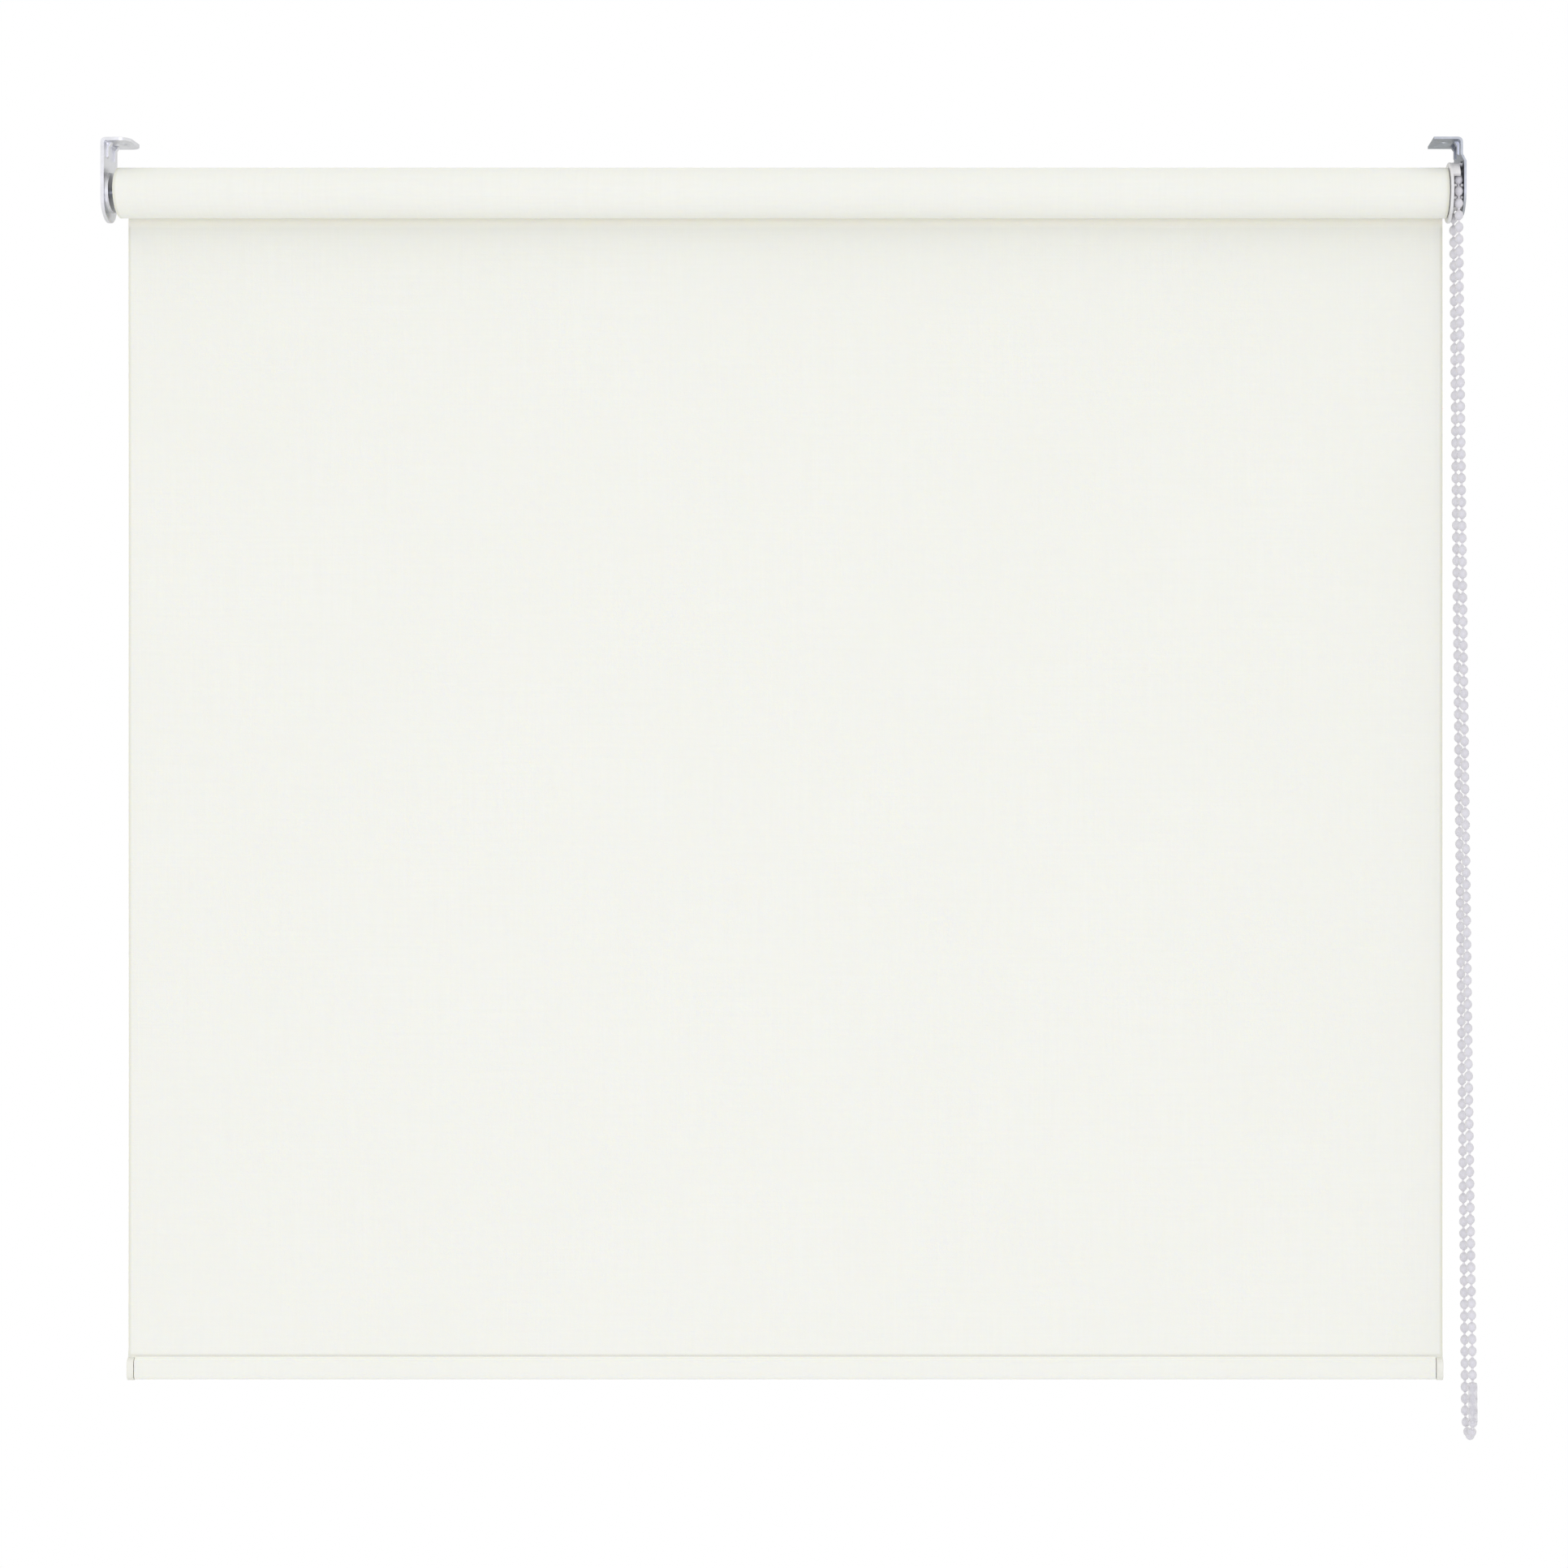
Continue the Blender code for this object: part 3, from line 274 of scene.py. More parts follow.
def fabric_finish(name, painted_bands=()):
    """A fine plain weave under a thin coating, cream white, with slubs and faint clouds.

    The side edges are darker: partly the cut edge's own tone, partly painted shade where the edge
    curls back.
    Each band is (start, end, colour, share, soft): a stripe of painted light or shade across the
    cloth, by distance down it.
    """
    finish = Finish(name, Roughness=0.82)
    finish.shader.inputs["Specular IOR Level"].default_value = 0.25
    finish.shader.inputs["Subsurface Weight"].default_value = FABRIC_GLOW
    finish.shader.inputs["Subsurface Radius"].default_value = (0.0016, 0.0014, 0.0009)
    place = finish.place("UV")
    split = finish.node("ShaderNodeSeparateXYZ", {"Vector": place})
    across, down = split.outputs["X"], split.outputs["Y"]
    turns = 2 * math.pi / (2 * YARN)
    warp = finish.math("SINE", finish.math("MULTIPLY", across, turns))
    weft = finish.math("SINE", finish.math("MULTIPLY", down, turns))
    over = finish.math("MULTIPLY", warp, weft)
    crossing = finish.spread(over, 0.0, 1.0, -1.0, 1.0)
    warp_slub = finish.noise(finish.place("UV", (1.0, 0.02, 1.0)), 900.0, 2.0)
    weft_slub = finish.noise(finish.place("UV", (0.02, 1.0, 1.0)), 900.0, 2.0)
    slubs = finish.math("ADD", warp_slub, weft_slub)
    cloud = finish.noise(place, 9.0, 4.0)
    tone = finish.mix(finish.spread(cloud, 0.0, 1.0), CLOTH_DARK, CLOTH_LIGHT)
    yarn_tone = finish.mix(finish.spread(slubs, 0.0, 1.0, 0.8, 1.2), YARN_TONE, tone)
    tone = finish.mix(finish.spread(crossing, 0.0, 1.0, 0.55, 1.0), yarn_tone, tone)
    # Painted shade along the curled side edges, partly the cut edge's own tone
    edge_shade_start, edge_shade_full = SHEET_HIGH.x - EDGE_AND_CURL_SHADE_START, SHEET_HIGH.x - EDGE_AND_CURL_SHADE_FULL
    rim = finish.spread(finish.math("ABSOLUTE", across), 0.0, 1.0, edge_shade_start, edge_shade_full)
    tone = finish.mix(finish.math("MULTIPLY", rim, CUT_EDGE_AND_CURL_SHADE_SHARE), tone, CUT_EDGE_AND_CURL_SHADE_TONE)
    # Painted bands of light and shade across the cloth
    for start, end, colour, share, soft in painted_bands:
        rise = finish.spread(down, 0.0, share, start - soft, start + soft)
        fall = finish.spread(down, 1.0, 0.0, end - soft, end + soft)
        tone = finish.mix(finish.math("MULTIPLY", rise, fall), tone, colour)
    finish.set("Base Color", tone)
    finish.bump(crossing, 0.00004, 0.6)
    finish.bump(slubs, 0.00008, 0.5)
    finish.set("Roughness", finish.spread(cloud, 0.76, 0.88))
    return finish.material


def zinc_finish(name, dark, light, glint, rim):
    """Zinc plate: cool grey, softly spangled, with faint drawing marks.

    The rim is the strength of its reflection at grazing angles.
    """
    finish = Finish(name, Metallic=1.0, Roughness=0.3)
    finish.shader.inputs["Specular Tint"].default_value = (rim, rim, rim, 1.0)
    place = finish.place()
    cloud = finish.noise(place, 160.0, 4.0)
    spangle = finish.node("ShaderNodeTexVoronoi", {"Vector": place, "Scale": 420.0})
    grey = finish.node("ShaderNodeRGBToBW", {"Color": spangle.outputs["Color"]}).outputs[0]
    tone = finish.mix(finish.spread(cloud, 0.0, 1.0), dark, light)
    finish.set("Base Color", finish.mix(finish.spread(grey, 0.0, 0.35, 0.0, 1.0), tone, glint))
    finish.set("Roughness", finish.spread(cloud, 0.28, 0.40))
    scratches = finish.noise(finish.place("Object", (1.0, 0.06, 0.06)), 2600.0, 2.0)
    finish.bump(scratches, 0.00002, 0.10)
    return finish.material


def metal_finish(name, dark, light, roughness, along):
    """Bare metal with fine lines along one axis (0 for X)."""
    finish = Finish(name, Metallic=1.0, Roughness=roughness)
    cloud = finish.noise(finish.place(), 120.0, 3.0)
    stretch = tuple(0.03 if i == along else 1.0 for i in range(3))
    lines = finish.noise(finish.place("Object", stretch), 2200.0)
    finish.set("Base Color", finish.mix(finish.spread(lines, 0.0, 1.0), dark, light))
    finish.set("Roughness", finish.spread(cloud, roughness - 0.06, roughness + 0.08))
    finish.bump(lines, 0.00002, 0.3)
    return finish.material


def plastic_finish(name, dark, light, roughness, glow=0.0):
    """Moulded plastic: slight flow marks, fine matte grain, a little light inside."""
    finish = Finish(name, Roughness=roughness)
    finish.shader.inputs["Subsurface Weight"].default_value = glow
    finish.shader.inputs["Subsurface Radius"].default_value = (0.0012, 0.0011, 0.0010)
    place = finish.place()
    cloud = finish.noise(place, 140.0, 3.0)
    grain = finish.noise(place, 3800.0, 2.0)
    finish.set("Base Color", finish.mix(finish.spread(cloud, 0.0, 1.0), dark, light))
    finish.set("Roughness", finish.spread(cloud, roughness - 0.06, roughness + 0.08))
    finish.bump(grain, 0.00003, 0.3)
    return finish.material


def clear_finish():
    """Clear moulding, a little milky, with faint flow lines."""
    finish = Finish("clear_connector", Roughness=0.15, IOR=1.49, Alpha=0.36)
    place = finish.place("Object", (1.0, 1.0, 0.2))
    flow = finish.noise(place, 900.0, 3.0)
    dark, light = (0.74, 0.73, 0.745), (0.82, 0.81, 0.825)
    finish.set("Base Color", finish.mix(finish.spread(flow, 0.0, 1.0), dark, light))
    finish.set("Roughness", finish.spread(flow, 0.10, 0.24))
    return finish.material


def string_finish():
    """The chain's spun cord: fine slanting strands."""
    finish = Finish("chain_cord", Roughness=0.8)
    strands = finish.noise(finish.place("Object", (1.0, 1.0, 0.35)), 4200.0, 2.0)
    dark, light = (0.62, 0.60, 0.61), (0.80, 0.78, 0.79)
    finish.set("Base Color", finish.mix(finish.spread(strands, 0.0, 1.0), dark, light))
    finish.bump(strands, 0.00012, 0.7)
    return finish.material


def stage_finish():
    """A pale matt floor with soft clouds."""
    finish = Finish("pale_floor", Roughness=0.9)
    cloud = finish.noise(finish.place(), 3.0, 3.0)
    dark, light = (0.84, 0.84, 0.83), (0.88, 0.88, 0.87)
    finish.set("Base Color", finish.mix(finish.spread(cloud, 0.0, 1.0), dark, light))
    return finish.material


WELD_TOP = SHEET_HIGH.z - HEM_HIGH.z - WELD_ABOVE_HEM
# The first band is painted light under the roll, where the rendered shadow is too dark; the second
# is the weld's darker tone with painted shade of its crease
SHEET_PAINTED_BANDS = [
    (-0.02, PAINTED_LIGHT_UNDER_ROLL_DEPTH, PAINTED_LIGHT_UNDER_ROLL_TONE, 1.0, 0.0015),
    (WELD_TOP, WELD_TOP + 0.004, WELD_AND_CREASE_SHADE_TONE, WELD_AND_CREASE_SHADE_SHARE, BAND_SOFT),
]
# At the hem's top: the weld's darker tone with painted shade of its crease, then a painted
# highlight on the shoulder
HEM_PAINTED_BANDS = [
    (-0.001, 0.0007, WELD_AND_CREASE_SHADE_TONE, WELD_AND_CREASE_SHADE_SHARE, BAND_SOFT),
    (0.0007, 0.0026, HEM_SHOULDER_HIGHLIGHT_TONE, 0.7, BAND_SOFT),
]
FABRIC = fabric_finish("blind_fabric_weave")
SHEET_FABRIC = fabric_finish("sheet_fabric_painted_bands", SHEET_PAINTED_BANDS)
HEM_FABRIC = fabric_finish("hem_fabric_painted_bands", HEM_PAINTED_BANDS)
# One zinc plate in two copies: the right bracket's darker tones are painted shade, the left one's
# lighter copy is painted light
ZINC = zinc_finish(
    "zinc_plate",
    dark=(0.38, 0.40, 0.43),
    light=(0.48, 0.505, 0.53),
    glint=(0.54, 0.565, 0.59),
    rim=0.50,
)
LIT_ZINC_COPY = zinc_finish(
    "zinc_plate_lit_copy",
    dark=(0.68, 0.685, 0.70),
    light=(0.78, 0.785, 0.80),
    glint=(0.84, 0.845, 0.86),
    rim=0.75,
)
ALUMINIUM = metal_finish(
    "aluminium_extruded",
    dark=(0.60, 0.61, 0.62),
    light=(0.78, 0.79, 0.80),
    roughness=0.36,
    along=0,
)
STEEL = metal_finish(
    "spring_wire",
    dark=(0.34, 0.35, 0.37),
    light=(0.55, 0.56, 0.58),
    roughness=0.30,
    along=0,
)
WHITE = plastic_finish(
    "white_moulding",
    dark=(0.66, 0.655, 0.64),
    light=(0.75, 0.745, 0.73),
    roughness=0.42,
    glow=0.15,
)
CREAM = plastic_finish(
    "cream_moulding",
    dark=(0.70, 0.70, 0.61),
    light=(0.76, 0.76, 0.67),
    roughness=0.45,
    glow=0.15,
)
GREY = plastic_finish(
    "grey_moulding",
    dark=(0.46, 0.46, 0.465),
    light=(0.54, 0.54, 0.545),
    roughness=0.46,
)
BEAD = plastic_finish(
    "bead_moulding",
    dark=(0.60, 0.59, 0.605),
    light=(0.66, 0.65, 0.665),
    roughness=0.38,
    glow=0.25,
)
CLEAR = clear_finish()
STRING = string_finish()

# Plain solids that stay as they are and only get a finish
NODE_FINISHES = {
    "roller_tube": ALUMINIUM,
    "bottom_bar": ALUMINIUM,
    "fabric_spline": WHITE,
    "idle_plug": GREY,
    "idle_spring_seat": GREY,
    "tube_adaptor": GREY,
    "drive_spindle": GREY,
    "clutch_spring_a": STEEL,
    "clutch_spring_b": STEEL,
    "retaining_clip": STEEL,
}
for node, finish in NODE_FINISHES.items():
    frame["nodes"][node].data.materials.clear()
    frame["nodes"][node].data.materials.append(finish)


# Mesh tools ------------------------------------------------------------------------------


def add_piece(name, bm, materials, sharp_angle=SHARP_ANGLE):
    """Close a bmesh into a shaded object with the given materials."""
    data = bpy.data.meshes.new(name)
    bm.to_mesh(data)
    bm.free()
    for material in materials:
        data.materials.append(material)
    data.shade_smooth()
    data.set_sharp_from_angle(angle=sharp_angle)
    piece = bpy.data.objects.new(name, data)
    bpy.context.collection.objects.link(piece)
    return piece


def settle(piece, body, slot, *nodes):
    """Ride a finished piece on its body in place of the plain nodes."""
    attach(piece, body)
    if nodes:
        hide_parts(*nodes)
    return piece


def smooth_route(route, steps):
    """Points on a smooth curve through the route's own points."""
    spots = [Vector(place) for place in route]
    ends = [spots[0] * 2 - spots[1]] + spots + [spots[-1] * 2 - spots[-2]]
    points = []
    for before, here, after, beyond in zip(ends, ends[1:], ends[2:], ends[3:]):
        for step in range(steps):
            t = step / steps
            points.append(
                here
                + (after - before) * (t / 2)
                + (before * 2 - here * 5 + after * 4 - beyond) * (t * t / 2)
                + (here * 3 - before - after * 3 + beyond) * (t**3 / 2)
            )
    return points + [spots[-1]]


class Line:
    """A polyline that gives its point and direction at a distance along it."""

    def __init__(self, points):
        self.points = points
        self.at = [0.0]
        for first, second in zip(points, points[1:]):
            self.at.append(self.at[-1] + (second - first).length)
        self.length = self.at[-1]

    def spot(self, distance):
        distance = min(max(distance, 0.0), self.length)
        i = max(k for k in range(len(self.at) - 1) if self.at[k] <= distance)
        share = (distance - self.at[i]) / (self.at[i + 1] - self.at[i])
        way = self.points[i + 1] - self.points[i]
        return self.points[i] + way * share, way.normalized()


def turned_along(bm, origin, way, profile, sides, roll=0.0, hollow=False):
    """Add an (along, radius) profile spun about a direction through a point.

    A hollow profile is left without faces over its two ends.
    """
    lean = way.to_track_quat("Z", "Y").to_matrix()
    rings = []
    for along, radius in profile:
        ring = []
        for k in range(sides):
            angle = roll + 2 * math.pi * k / sides
            spot = Vector((radius * math.cos(angle), radius * math.sin(angle), along))
            ring.append(bm.verts.new(origin + lean @ spot))
        rings.append(ring)
    for first, second in zip(rings, rings[1:]):
        for k in range(sides):
            j = (k + 1) % sides
            bm.faces.new((first[k], first[j], second[j], second[k]))
    if not hollow:
        bm.faces.new(list(reversed(rings[0])))
        bm.faces.new(rings[-1])


def tube_along(bm, points, radius, sides, material):
    """Add a closed tube that follows the points, with one of the piece's materials."""
    rings = []
    for i, here in enumerate(points):
        way = (points[min(i + 1, len(points) - 1)] - points[max(i - 1, 0)]).normalized()
        lean = way.to_track_quat("Z", "Y").to_matrix()
        ring = []
        for k in range(sides):
            angle = 2 * math.pi * k / sides
            spot = Vector((radius * math.cos(angle), radius * math.sin(angle), 0))
            ring.append(bm.verts.new(here + lean @ spot))
        rings.append(ring)
    for first, second in zip(rings, rings[1:]):
        offset = min(range(sides), key=lambda k: (second[k].co - first[0].co).length)
        for k in range(sides):
            a, b = (k + offset) % sides, (k + 1 + offset) % sides
            corners = (first[k], first[(k + 1) % sides], second[b], second[a])
            bm.faces.new(corners).material_index = material
    bm.faces.new(list(reversed(rings[0]))).material_index = material
    bm.faces.new(rings[-1]).material_index = material


def refined(node, name, material, round_edge, body, slot):
    """A CAD node's own shape with its edges rounded, as moulding or pressing leaves them."""
    bm = bmesh.new()
    bm.from_mesh(frame["nodes"][node].data)
    bmesh.ops.remove_doubles(bm, verts=bm.verts, dist=MERGE_DISTANCE)
    bmesh.ops.dissolve_limit(bm, angle_limit=FLAT_ANGLE, verts=bm.verts, edges=bm.edges)
    piece = add_piece(name, bm, [material])
    bevel = piece.modifiers.new("rounded_edges", "BEVEL")
    bevel.width = round_edge
    bevel.segments = ROUNDED_SEGMENTS
    bevel.limit_method = "ANGLE"
    bevel.angle_limit = ROUNDED_ANGLE
    bevel.use_clamp_overlap = True
    bevel.harden_normals = True
    return settle(piece, body, slot, node)


# Camera and light ------------------------------------------------------------------------


def make_camera():
    """A level camera that looks along +Y, shifted sideways to frame the blind as in the photo."""
    data = bpy.data.cameras.new("photo_view")
    data.lens = CAMERA_LENS
    data.sensor_width = CAMERA_SENSOR
    data.shift_x = CAMERA_SHIFT
    data.clip_start = CAMERA_NEAR
    camera = bpy.data.objects.new("photo_view", data)
    bpy.context.collection.objects.link(camera)
    camera.location = CAMERA_PLACE
    camera.rotation_euler = (math.pi / 2, 0.0, 0.0)
    bpy.context.scene.camera = camera


def make_light(name, place, target, watts):
    """A square area light at a place, aimed at a target."""
    data = bpy.data.lights.new(name, "AREA")
    data.color = LIGHT_COLOUR
    data.shape = "SQUARE"
    data.size = LIGHT_SIZE
    data.energy = watts
    lamp = bpy.data.objects.new(name, data)
    bpy.context.collection.objects.link(lamp)
    lamp.location = place
    lamp.rotation_euler = (Vector(target) - Vector(place)).to_track_quat("-Z", "Y").to_euler()


def make_stage():
    """A white world, two area lights and a floor well below the blind."""
    world = bpy.data.worlds.new("white_studio")
    world.use_nodes = True
    background = world.node_tree.nodes["Background"]
    background.inputs["Color"].default_value = (1.0, 1.0, 1.0, 1.0)
    background.inputs["Strength"].default_value = 1.0
    bpy.context.scene.world = world
    bpy.context.scene.view_settings.view_transform = "Standard"
    make_light("front_softbox", SOFTBOX_PLACE, SOFTBOX_TARGET, SOFTBOX_WATTS)
    make_light("low_fill", FILL_PLACE, FILL_TARGET, FILL_WATTS)
    bm = bmesh.new()
    bmesh.ops.create_grid(bm, x_segments=FLOOR_CELLS, y_segments=FLOOR_CELLS, size=FLOOR_SIZE)
    floor = add_piece("studio_floor", bm, [stage_finish()])
    floor.location = (0.0, 0.0, FLOOR_Z)


# Bead chain ------------------------------------------------------------------------------


def bead_profile():
    """One moulded bead, as (along, radius): a long ball with a blunt collar at both ends."""
    body = []
    for i in range(1, BEAD_STEPS):
        turn = math.pi * i / BEAD_STEPS - math.pi / 2
        radius = max(BEAD_RADIUS * math.cos(turn) ** BEAD_FULLNESS, BEAD_COLLAR)
        body.append((BEAD_HALF_LENGTH * math.sin(turn), radius))
    end, mouth = BEAD_HALF_LENGTH + BEAD_LIP, BEAD_COLLAR * BEAD_LIP_SHARE
    return [(-end, mouth)] + body + [(end, mouth)]


def wheel_bead_places():
    """Bead centres over the wheel from the rear strand to the front, with one more on each."""
    radius = BEAD_PITCH / (2 * math.sin(math.pi / POCKETS))
    x = (ON_WHEEL_LOW.x + ON_WHEEL_HIGH.x) / 2
    places = []
    for i in reversed(range(BEADS_ON_WHEEL)):
        angle = FIRST_POCKET_ANGLE + 2 * math.pi * i / POCKETS
        places.append(Vector((x, -radius * math.cos(angle), AXIS_Z + radius * math.sin(angle))))
    rear = Vector((x, radius, places[0].z - BEAD_PITCH))
    front = Vector((x, -radius, places[-1].z - BEAD_PITCH))
    return [rear] + places + [front]


def connector_profile(offset):
    """The snap-on shell over three beads: a lumpy hollow sleeve with rounded mouths.

    The offset is how far along it a bead stands from its middle, so that the lumps meet the beads.
    """
    outer, inner = [], []
    for i in range(CONNECTOR_STEPS + 1):
        along = CONNECTOR_LENGTH * (i / CONNECTOR_STEPS - 0.5)
        wave = 0.5 - 0.5 * math.cos(2 * math.pi * (along - offset) / BEAD_PITCH)
        from_mouth = min(1.0, (CONNECTOR_LENGTH / 2 - abs(along)) / CONNECTOR_LIP)
        lip = 1.0 - math.sqrt(1.0 - (1.0 - from_mouth) ** 2)
        radius = CONNECTOR_RADIUS - CONNECTOR_WAVE * wave
        outer.append((along, radius - CONNECTOR_WALL * lip))
        inner.append((along, radius - CONNECTOR_WALL))
    return outer + inner[-2:0:-1] + outer[:1]


def make_chain():
    """The chain: its free part on one cord, the connector over it, and the beads on the wheel."""
    on_wheel = wheel_bead_places()
    route = smooth_route(FRONT_ROUTE, ROUTE_STEPS) + smooth_route(REAR_ROUTE, ROUTE_STEPS)
    whole = Line([on_wheel[-1]] + route + [on_wheel[0]])
    links = round(whole.length / BEAD_PITCH)
    pitch = whole.length / links
    top, bottom = Vector(FRONT_ROUTE[-1]), Vector(REAR_ROUTE[0])
    joint = (top + bottom) / 2
    centres = (whole.spot(i * pitch)[0] for i in range(1, links))
    nearest = min(centres, key=lambda spot: (spot - joint).length)
    down = (bottom - top).normalized()
    offset = (nearest - joint).dot(down)
    bm = bmesh.new()
    for i in range(1, links):
        spot, way = whole.spot(i * pitch)
        turned_along(bm, spot, way, bead_profile(), BEAD_SIDES, roll=BEAD_TWIST * i)
    tube_along(bm, route, STRING_RADIUS, STRING_SIDES, 1)
    chain = add_piece("bead_chain", bm, [BEAD, STRING])
    settle(chain, "mounting", "chain_bead", "chain_front", "chain_rear")

    bm = bmesh.new()
    turned_along(bm, joint, down, connector_profile(offset), CONNECTOR_SIDES, hollow=True)
    bmesh.ops.remove_doubles(bm, verts=bm.verts, dist=CONNECTOR_MERGE)
    bmesh.ops.recalc_face_normals(bm, faces=bm.faces)
    clip = add_piece("connector_shell", bm, [CLEAR])
    settle(clip, "mounting", "clear_plastic", "chain_connector")

    bm = bmesh.new()
    rear_end = on_wheel[0] - Vector((0, 0, REAR_CORD_END))
    front_end = on_wheel[-1] - Vector((0, 0, FRONT_CORD_END))
    places = [rear_end] + on_wheel + [front_end]
    for before, here, after in zip(places, places[1:], places[2:]):
        way = ((after - here).normalized() + (here - before).normalized()).normalized()
        turned_along(bm, here, way, bead_profile(), BEAD_SIDES)
    tube_along(bm, places, STRING_RADIUS, STRING_SIDES, 1)
    beads = add_piece("beads_on_wheel", bm, [BEAD, STRING])
    settle(beads, "mounting", "chain_bead", "chain_on_wheel")


# Fabric ----------------------------------------------------------------------------------


def cloth_strip(name, section, columns, low_x, high_x, shape=None, materials=(FABRIC,)):
    """A strip of cloth across X: its section is a line of (y, z), its UV is in metres.

    The front faces take the first material and the back faces the last.
    """
    count = len(section)
    along = [0.0]
    for (y0, z0), (y1, z1) in zip(section, section[1:]):
        along.append(along[-1] + math.hypot(y1 - y0, z1 - z0))
    outward = []
    for i in range(count):
        (y0, z0), (y1, z1) = section[max(i - 1, 0)], section[min(i + 1, count - 1)]
        length = math.hypot(y1 - y0, z1 - z0)
        outward.append(((z1 - z0) / length, -(y1 - y0) / length))
    bm = bmesh.new()
    layer = bm.loops.layers.uv.new("cloth")
    grids = []
    for side in (-0.5, 0.5):
        grid = []
        for i, ((y, z), (ny, nz)) in enumerate(zip(section, outward)):
            row = []
            for k in range(columns + 1):
                x = low_x + (high_x - low_x) * column_place(k / columns)
                sway = shape(x, z) if shape else 0.0
                reach = side * CLOTH
                row.append(bm.verts.new((x, y + ny * reach + sway, z + nz * reach)))
            grid.append(row)
        grids.append(grid)
    back, front = grids

    def face(corners, spots, material_index=0):
        made = bm.faces.new(corners)
        made.material_index = material_index
        for loop, (i, k) in zip(made.loops, spots):
            x = low_x + (high_x - low_x) * column_place(k / columns)
            loop[layer].uv = (x, along[i])

    for i in range(count - 1):
        for k in range(columns):
            spots = [(i, k), (i, k + 1), (i + 1, k + 1), (i + 1, k)]
            face([front[a][b] for a, b in spots], spots)
            spots.reverse()
            face([back[a][b] for a, b in spots], spots, len(materials) - 1)
    for i in range(count - 1):
        for k in (0, columns):
            spots = [(i, k), (i + 1, k)]
            corners = [front[i][k], front[i + 1][k], back[i + 1][k], back[i][k]]
            face(corners, [spots[0], spots[1], spots[1], spots[0]])
    for k in range(columns):
        for i in (0, count - 1):
            corners = [front[i][k], front[i][k + 1], back[i][k + 1], back[i][k]]
            face(corners, [(i, k), (i, k + 1), (i, k + 1), (i, k)])
    bmesh.ops.recalc_face_normals(bm, faces=bm.faces)
    return add_piece(name, bm, materials, CLOTH_SHARP_ANGLE)


def column_place(share):
    """Closer columns near both ends, where the cloth's edge curls."""
    eased = 0.5 - 0.5 * math.cos(math.pi * share)
    return EVEN_COLUMNS * share + EASED_COLUMNS * eased


def hanging_shape(x, z):
    """Slow waves from having been rolled up, and edges that curl back a little."""
    depth = (SHEET_HIGH.z - z) / (SHEET_HIGH.z - SHEET_LOW.z)
    hold = math.sin(math.pi * depth) ** 0.5 if 0 < depth < 1 else 0.0
    broad = BROAD_WAVE * math.sin(9.2 * x + 5.0 * z + 0.4)
    fine = FINE_WAVE * math.sin(21.0 * z + 3.1 * x)
    from_edge = (SHEET_HIGH.x - abs(x)) / CURL_WIDTH
    curl = CURL_DEPTH * max(0.0, 1.0 - from_edge) ** 2 * min(1.0, 12.0 * hold)
    return hold * (broad + fine) + curl


def make_sheet():
    """The hanging cloth, from the back of the roll to the hem."""
    top, bottom = SHEET_HIGH.z, HEM_HIGH.z - TUCK
    section = [
        (SHEET_Y, top + (bottom - top) * i / SHEET_ROWS) for i in range(SHEET_ROWS + 1)
    ]
    sheet = cloth_strip(
        "hanging_cloth",
        section,
        SHEET_COLUMNS,
        SHEET_LOW.x,
        SHEET_HIGH.x,
        hanging_shape,
        [SHEET_FABRIC, FABRIC],
    )
    settle(sheet, "mounting", "blind_fabric", "fabric_sheet")
    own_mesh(sheet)
    return sheet


def make_last_turn():
    """The outer turn of cloth, held where the sheet leaves the roll."""
    radius = ROLL_RADIUS - CLOTH / 2
    lift = SHEET_Y - radius
    section = []
    for i in range(TURN_STEPS + 1):
        angle = OUTER_TURN_ANGLE * i / TURN_STEPS
        leave = max(0.0, 1.0 - angle / LEAVING_ANGLE)
        reach = radius + lift * leave**2
        section.append((reach * math.cos(angle), AXIS_Z + reach * math.sin(angle)))
    section.reverse()
    turn = cloth_strip("outer_turn", section, OUTER_TURN_COLUMNS, ROLL_LOW.x, ROLL_HIGH.x)
    return settle(turn, "mounting", "blind_fabric")


def make_inner_turn():
    """The turn bonded to the tube, which goes round with it."""
    radius = (TUBE_RADIUS + ROLL_RADIUS - CLOTH) / 2
    angles = [
        math.radians(INNER_TURN_START + INNER_TURN_ANGLE * i / TURN_STEPS)
        for i in range(TURN_STEPS + 1)
    ]
    section = [
        (radius * math.cos(angle), AXIS_Z + radius * math.sin(angle))
        for angle in reversed(angles)
    ]
    low_x, high_x = ROLL_LOW.x + INNER_TURN_INSET, ROLL_HIGH.x - INNER_TURN_INSET
    turn = cloth_strip("inner_turn", section, INNER_TURN_COLUMNS, low_x, high_x)
    return settle(turn, "roller", "blind_fabric", "fabric_roll")


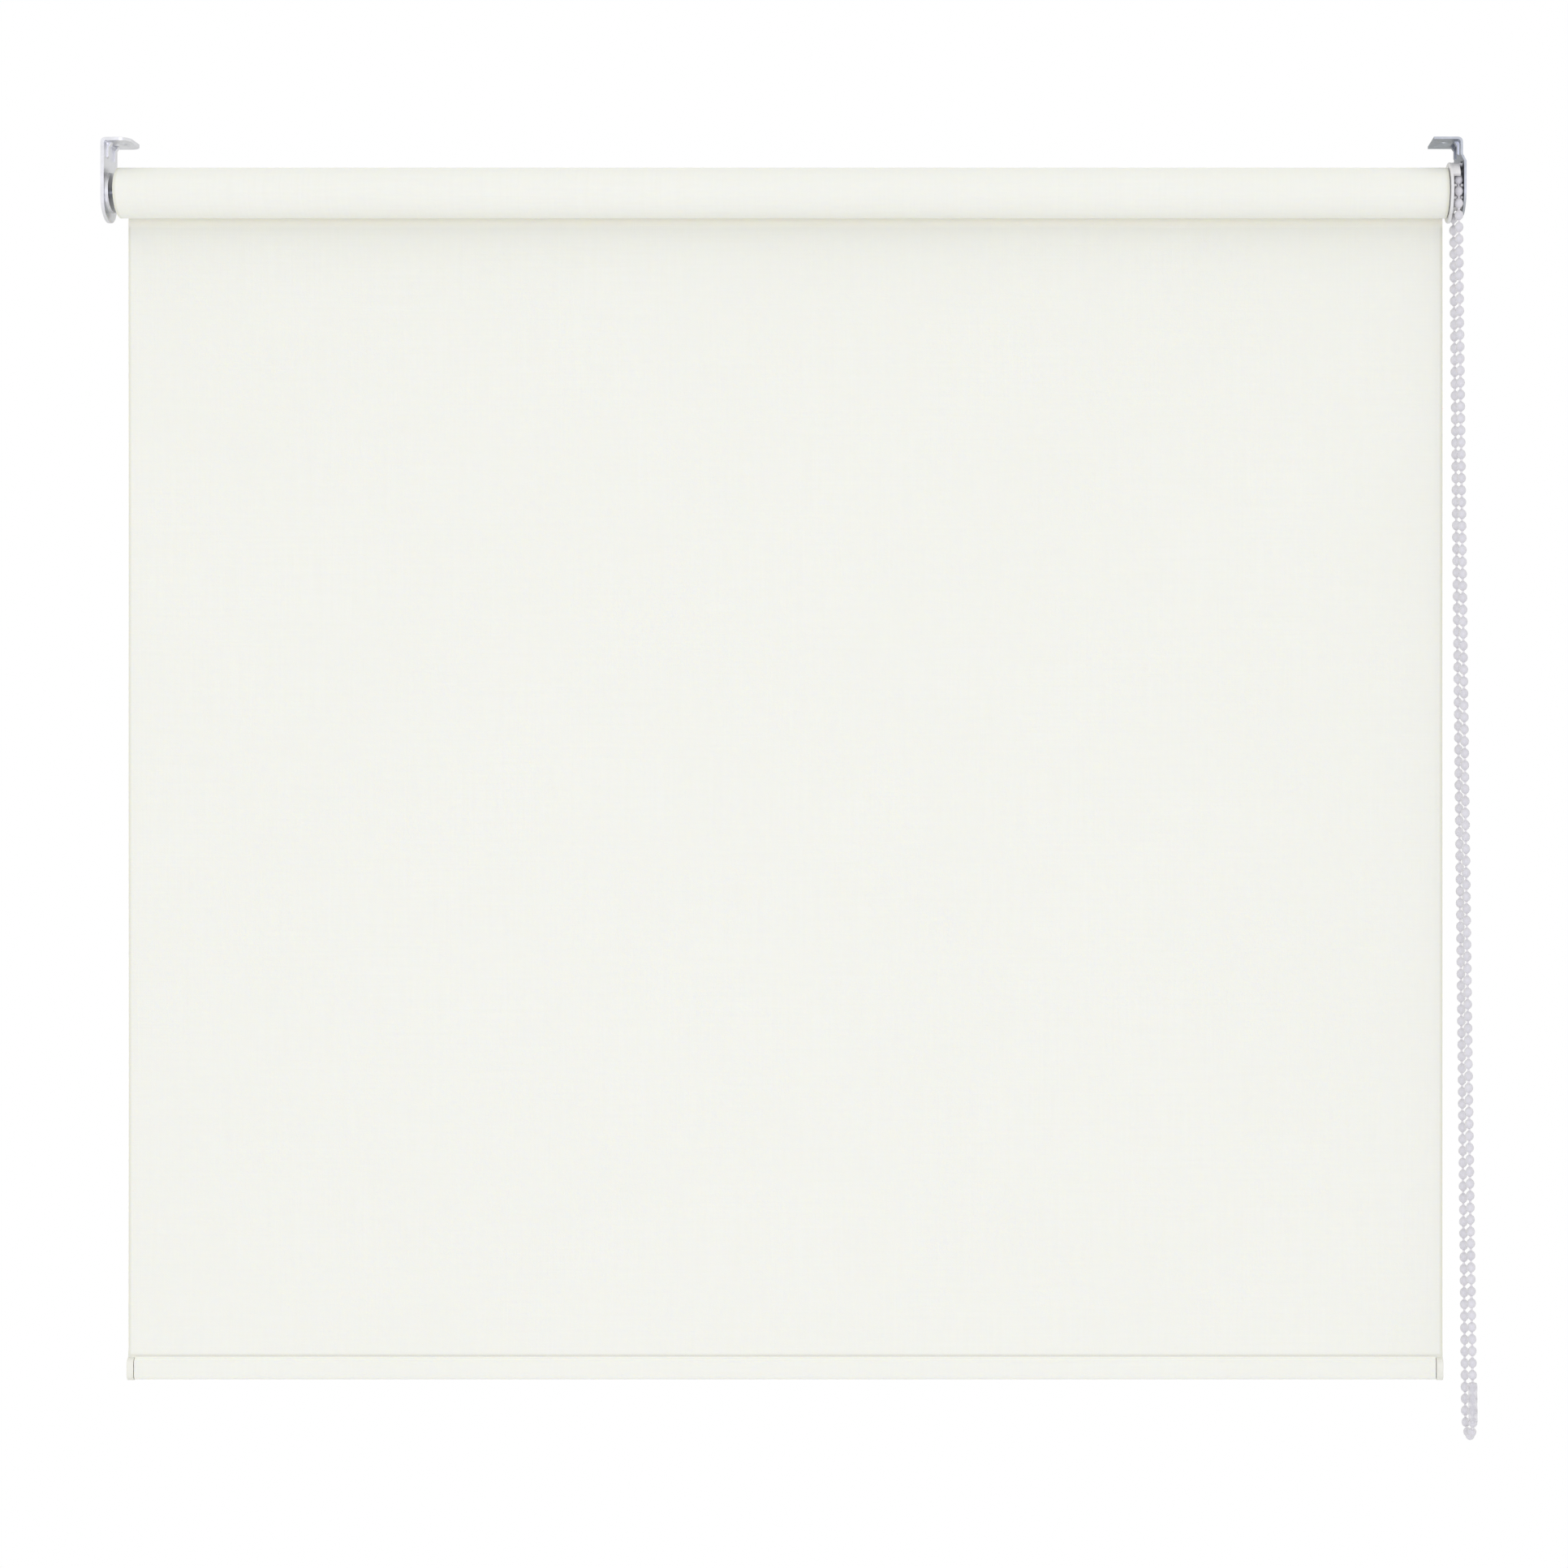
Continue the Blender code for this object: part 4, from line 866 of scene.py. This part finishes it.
def make_hem():
    """The pocket that the bar lies in: cloth round the bar, welded above it."""
    y = (HEM_LOW.y + HEM_HIGH.y) / 2
    half = (HEM_HIGH.y - HEM_LOW.y - CLOTH) / 2
    low = HEM_LOW.z + CLOTH / 2
    top = HEM_HIGH.z
    weld = CLOTH + HEM_SLACK
    shoulder = top - SHOULDER_DROP
    side = [(y - weld, top), (y - weld, shoulder + SHOULDER_EASE)]
    for i in range(1, SHOULDER_STEPS + 1):
        share = i / SHOULDER_STEPS
        out = (half - weld) * math.sin(share * math.pi / 2)
        fall = SHOULDER_FALL * (1 - math.cos(share * math.pi / 2))
        side.append((y - weld - out, shoulder - fall))
    floor = low + half
    side.append((y - half, floor))
    section = list(side)
    for i in range(1, HEM_FLOOR_STEPS):
        angle = math.pi + math.pi * i / HEM_FLOOR_STEPS
        section.append((y + half * math.cos(angle), floor + half * math.sin(angle)))
    section += [(2 * y - a, b) for a, b in reversed(side)]
    hem = cloth_strip(
        "hem_cloth",
        section,
        HEM_COLUMNS,
        HEM_LOW.x,
        HEM_HIGH.x,
        materials=[HEM_FABRIC],
    )
    return settle(hem, "bottom_rail", "blind_fabric", "hem_pocket")


def make_fabric():
    """The hanging sheet with the turns on the roll and the hem that belong to it."""
    sheet = make_sheet()
    pieces = [make_last_turn(), make_inner_turn(), make_hem()]


# Hard pieces -----------------------------------------------------------------------------


# Node, piece, material, rounding of the edges, body, slot
HARD_PIECES = (
    ("bracket_left", "bracket_plate_left", LIT_ZINC_COPY, 0.00022, "mounting", "zinc_steel"),
    ("bracket_right", "bracket_plate_right", ZINC, 0.00020, "mounting", "zinc_steel"),
    ("chain_guard", "guard_moulding", WHITE, 0.00022, "mounting", "white_plastic"),
    ("chain_wheel", "wheel_moulding", WHITE, 0.00015, "chain_wheel", "white_plastic"),
    ("bar_end_cap_left", "end_cap_left", CREAM, 0.00035, "bottom_rail", "white_plastic"),
    ("bar_end_cap_right", "end_cap_right", CREAM, 0.00035, "bottom_rail", "white_plastic"),
    ("idle_pin", "sprung_pin", ZINC, 0.0002, "idle_pin", "zinc_steel"),
)
SPRING_ROUNDING = 0.00004


def make_hard_pieces():
    """The pressed and moulded pieces, and the pin's spring in one fixed shape, though the real one
    shortens as the pin goes in.
    """
    for piece in HARD_PIECES:
        refined(*piece)
    spring = refined(
        "idle_spring",
        "pin_spring",
        STEEL,
        SPRING_ROUNDING,
        "roller",
        "spring_steel",
    )
    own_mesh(spring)


make_camera()
make_chain()
make_stage()
make_fabric()
make_hard_pieces()
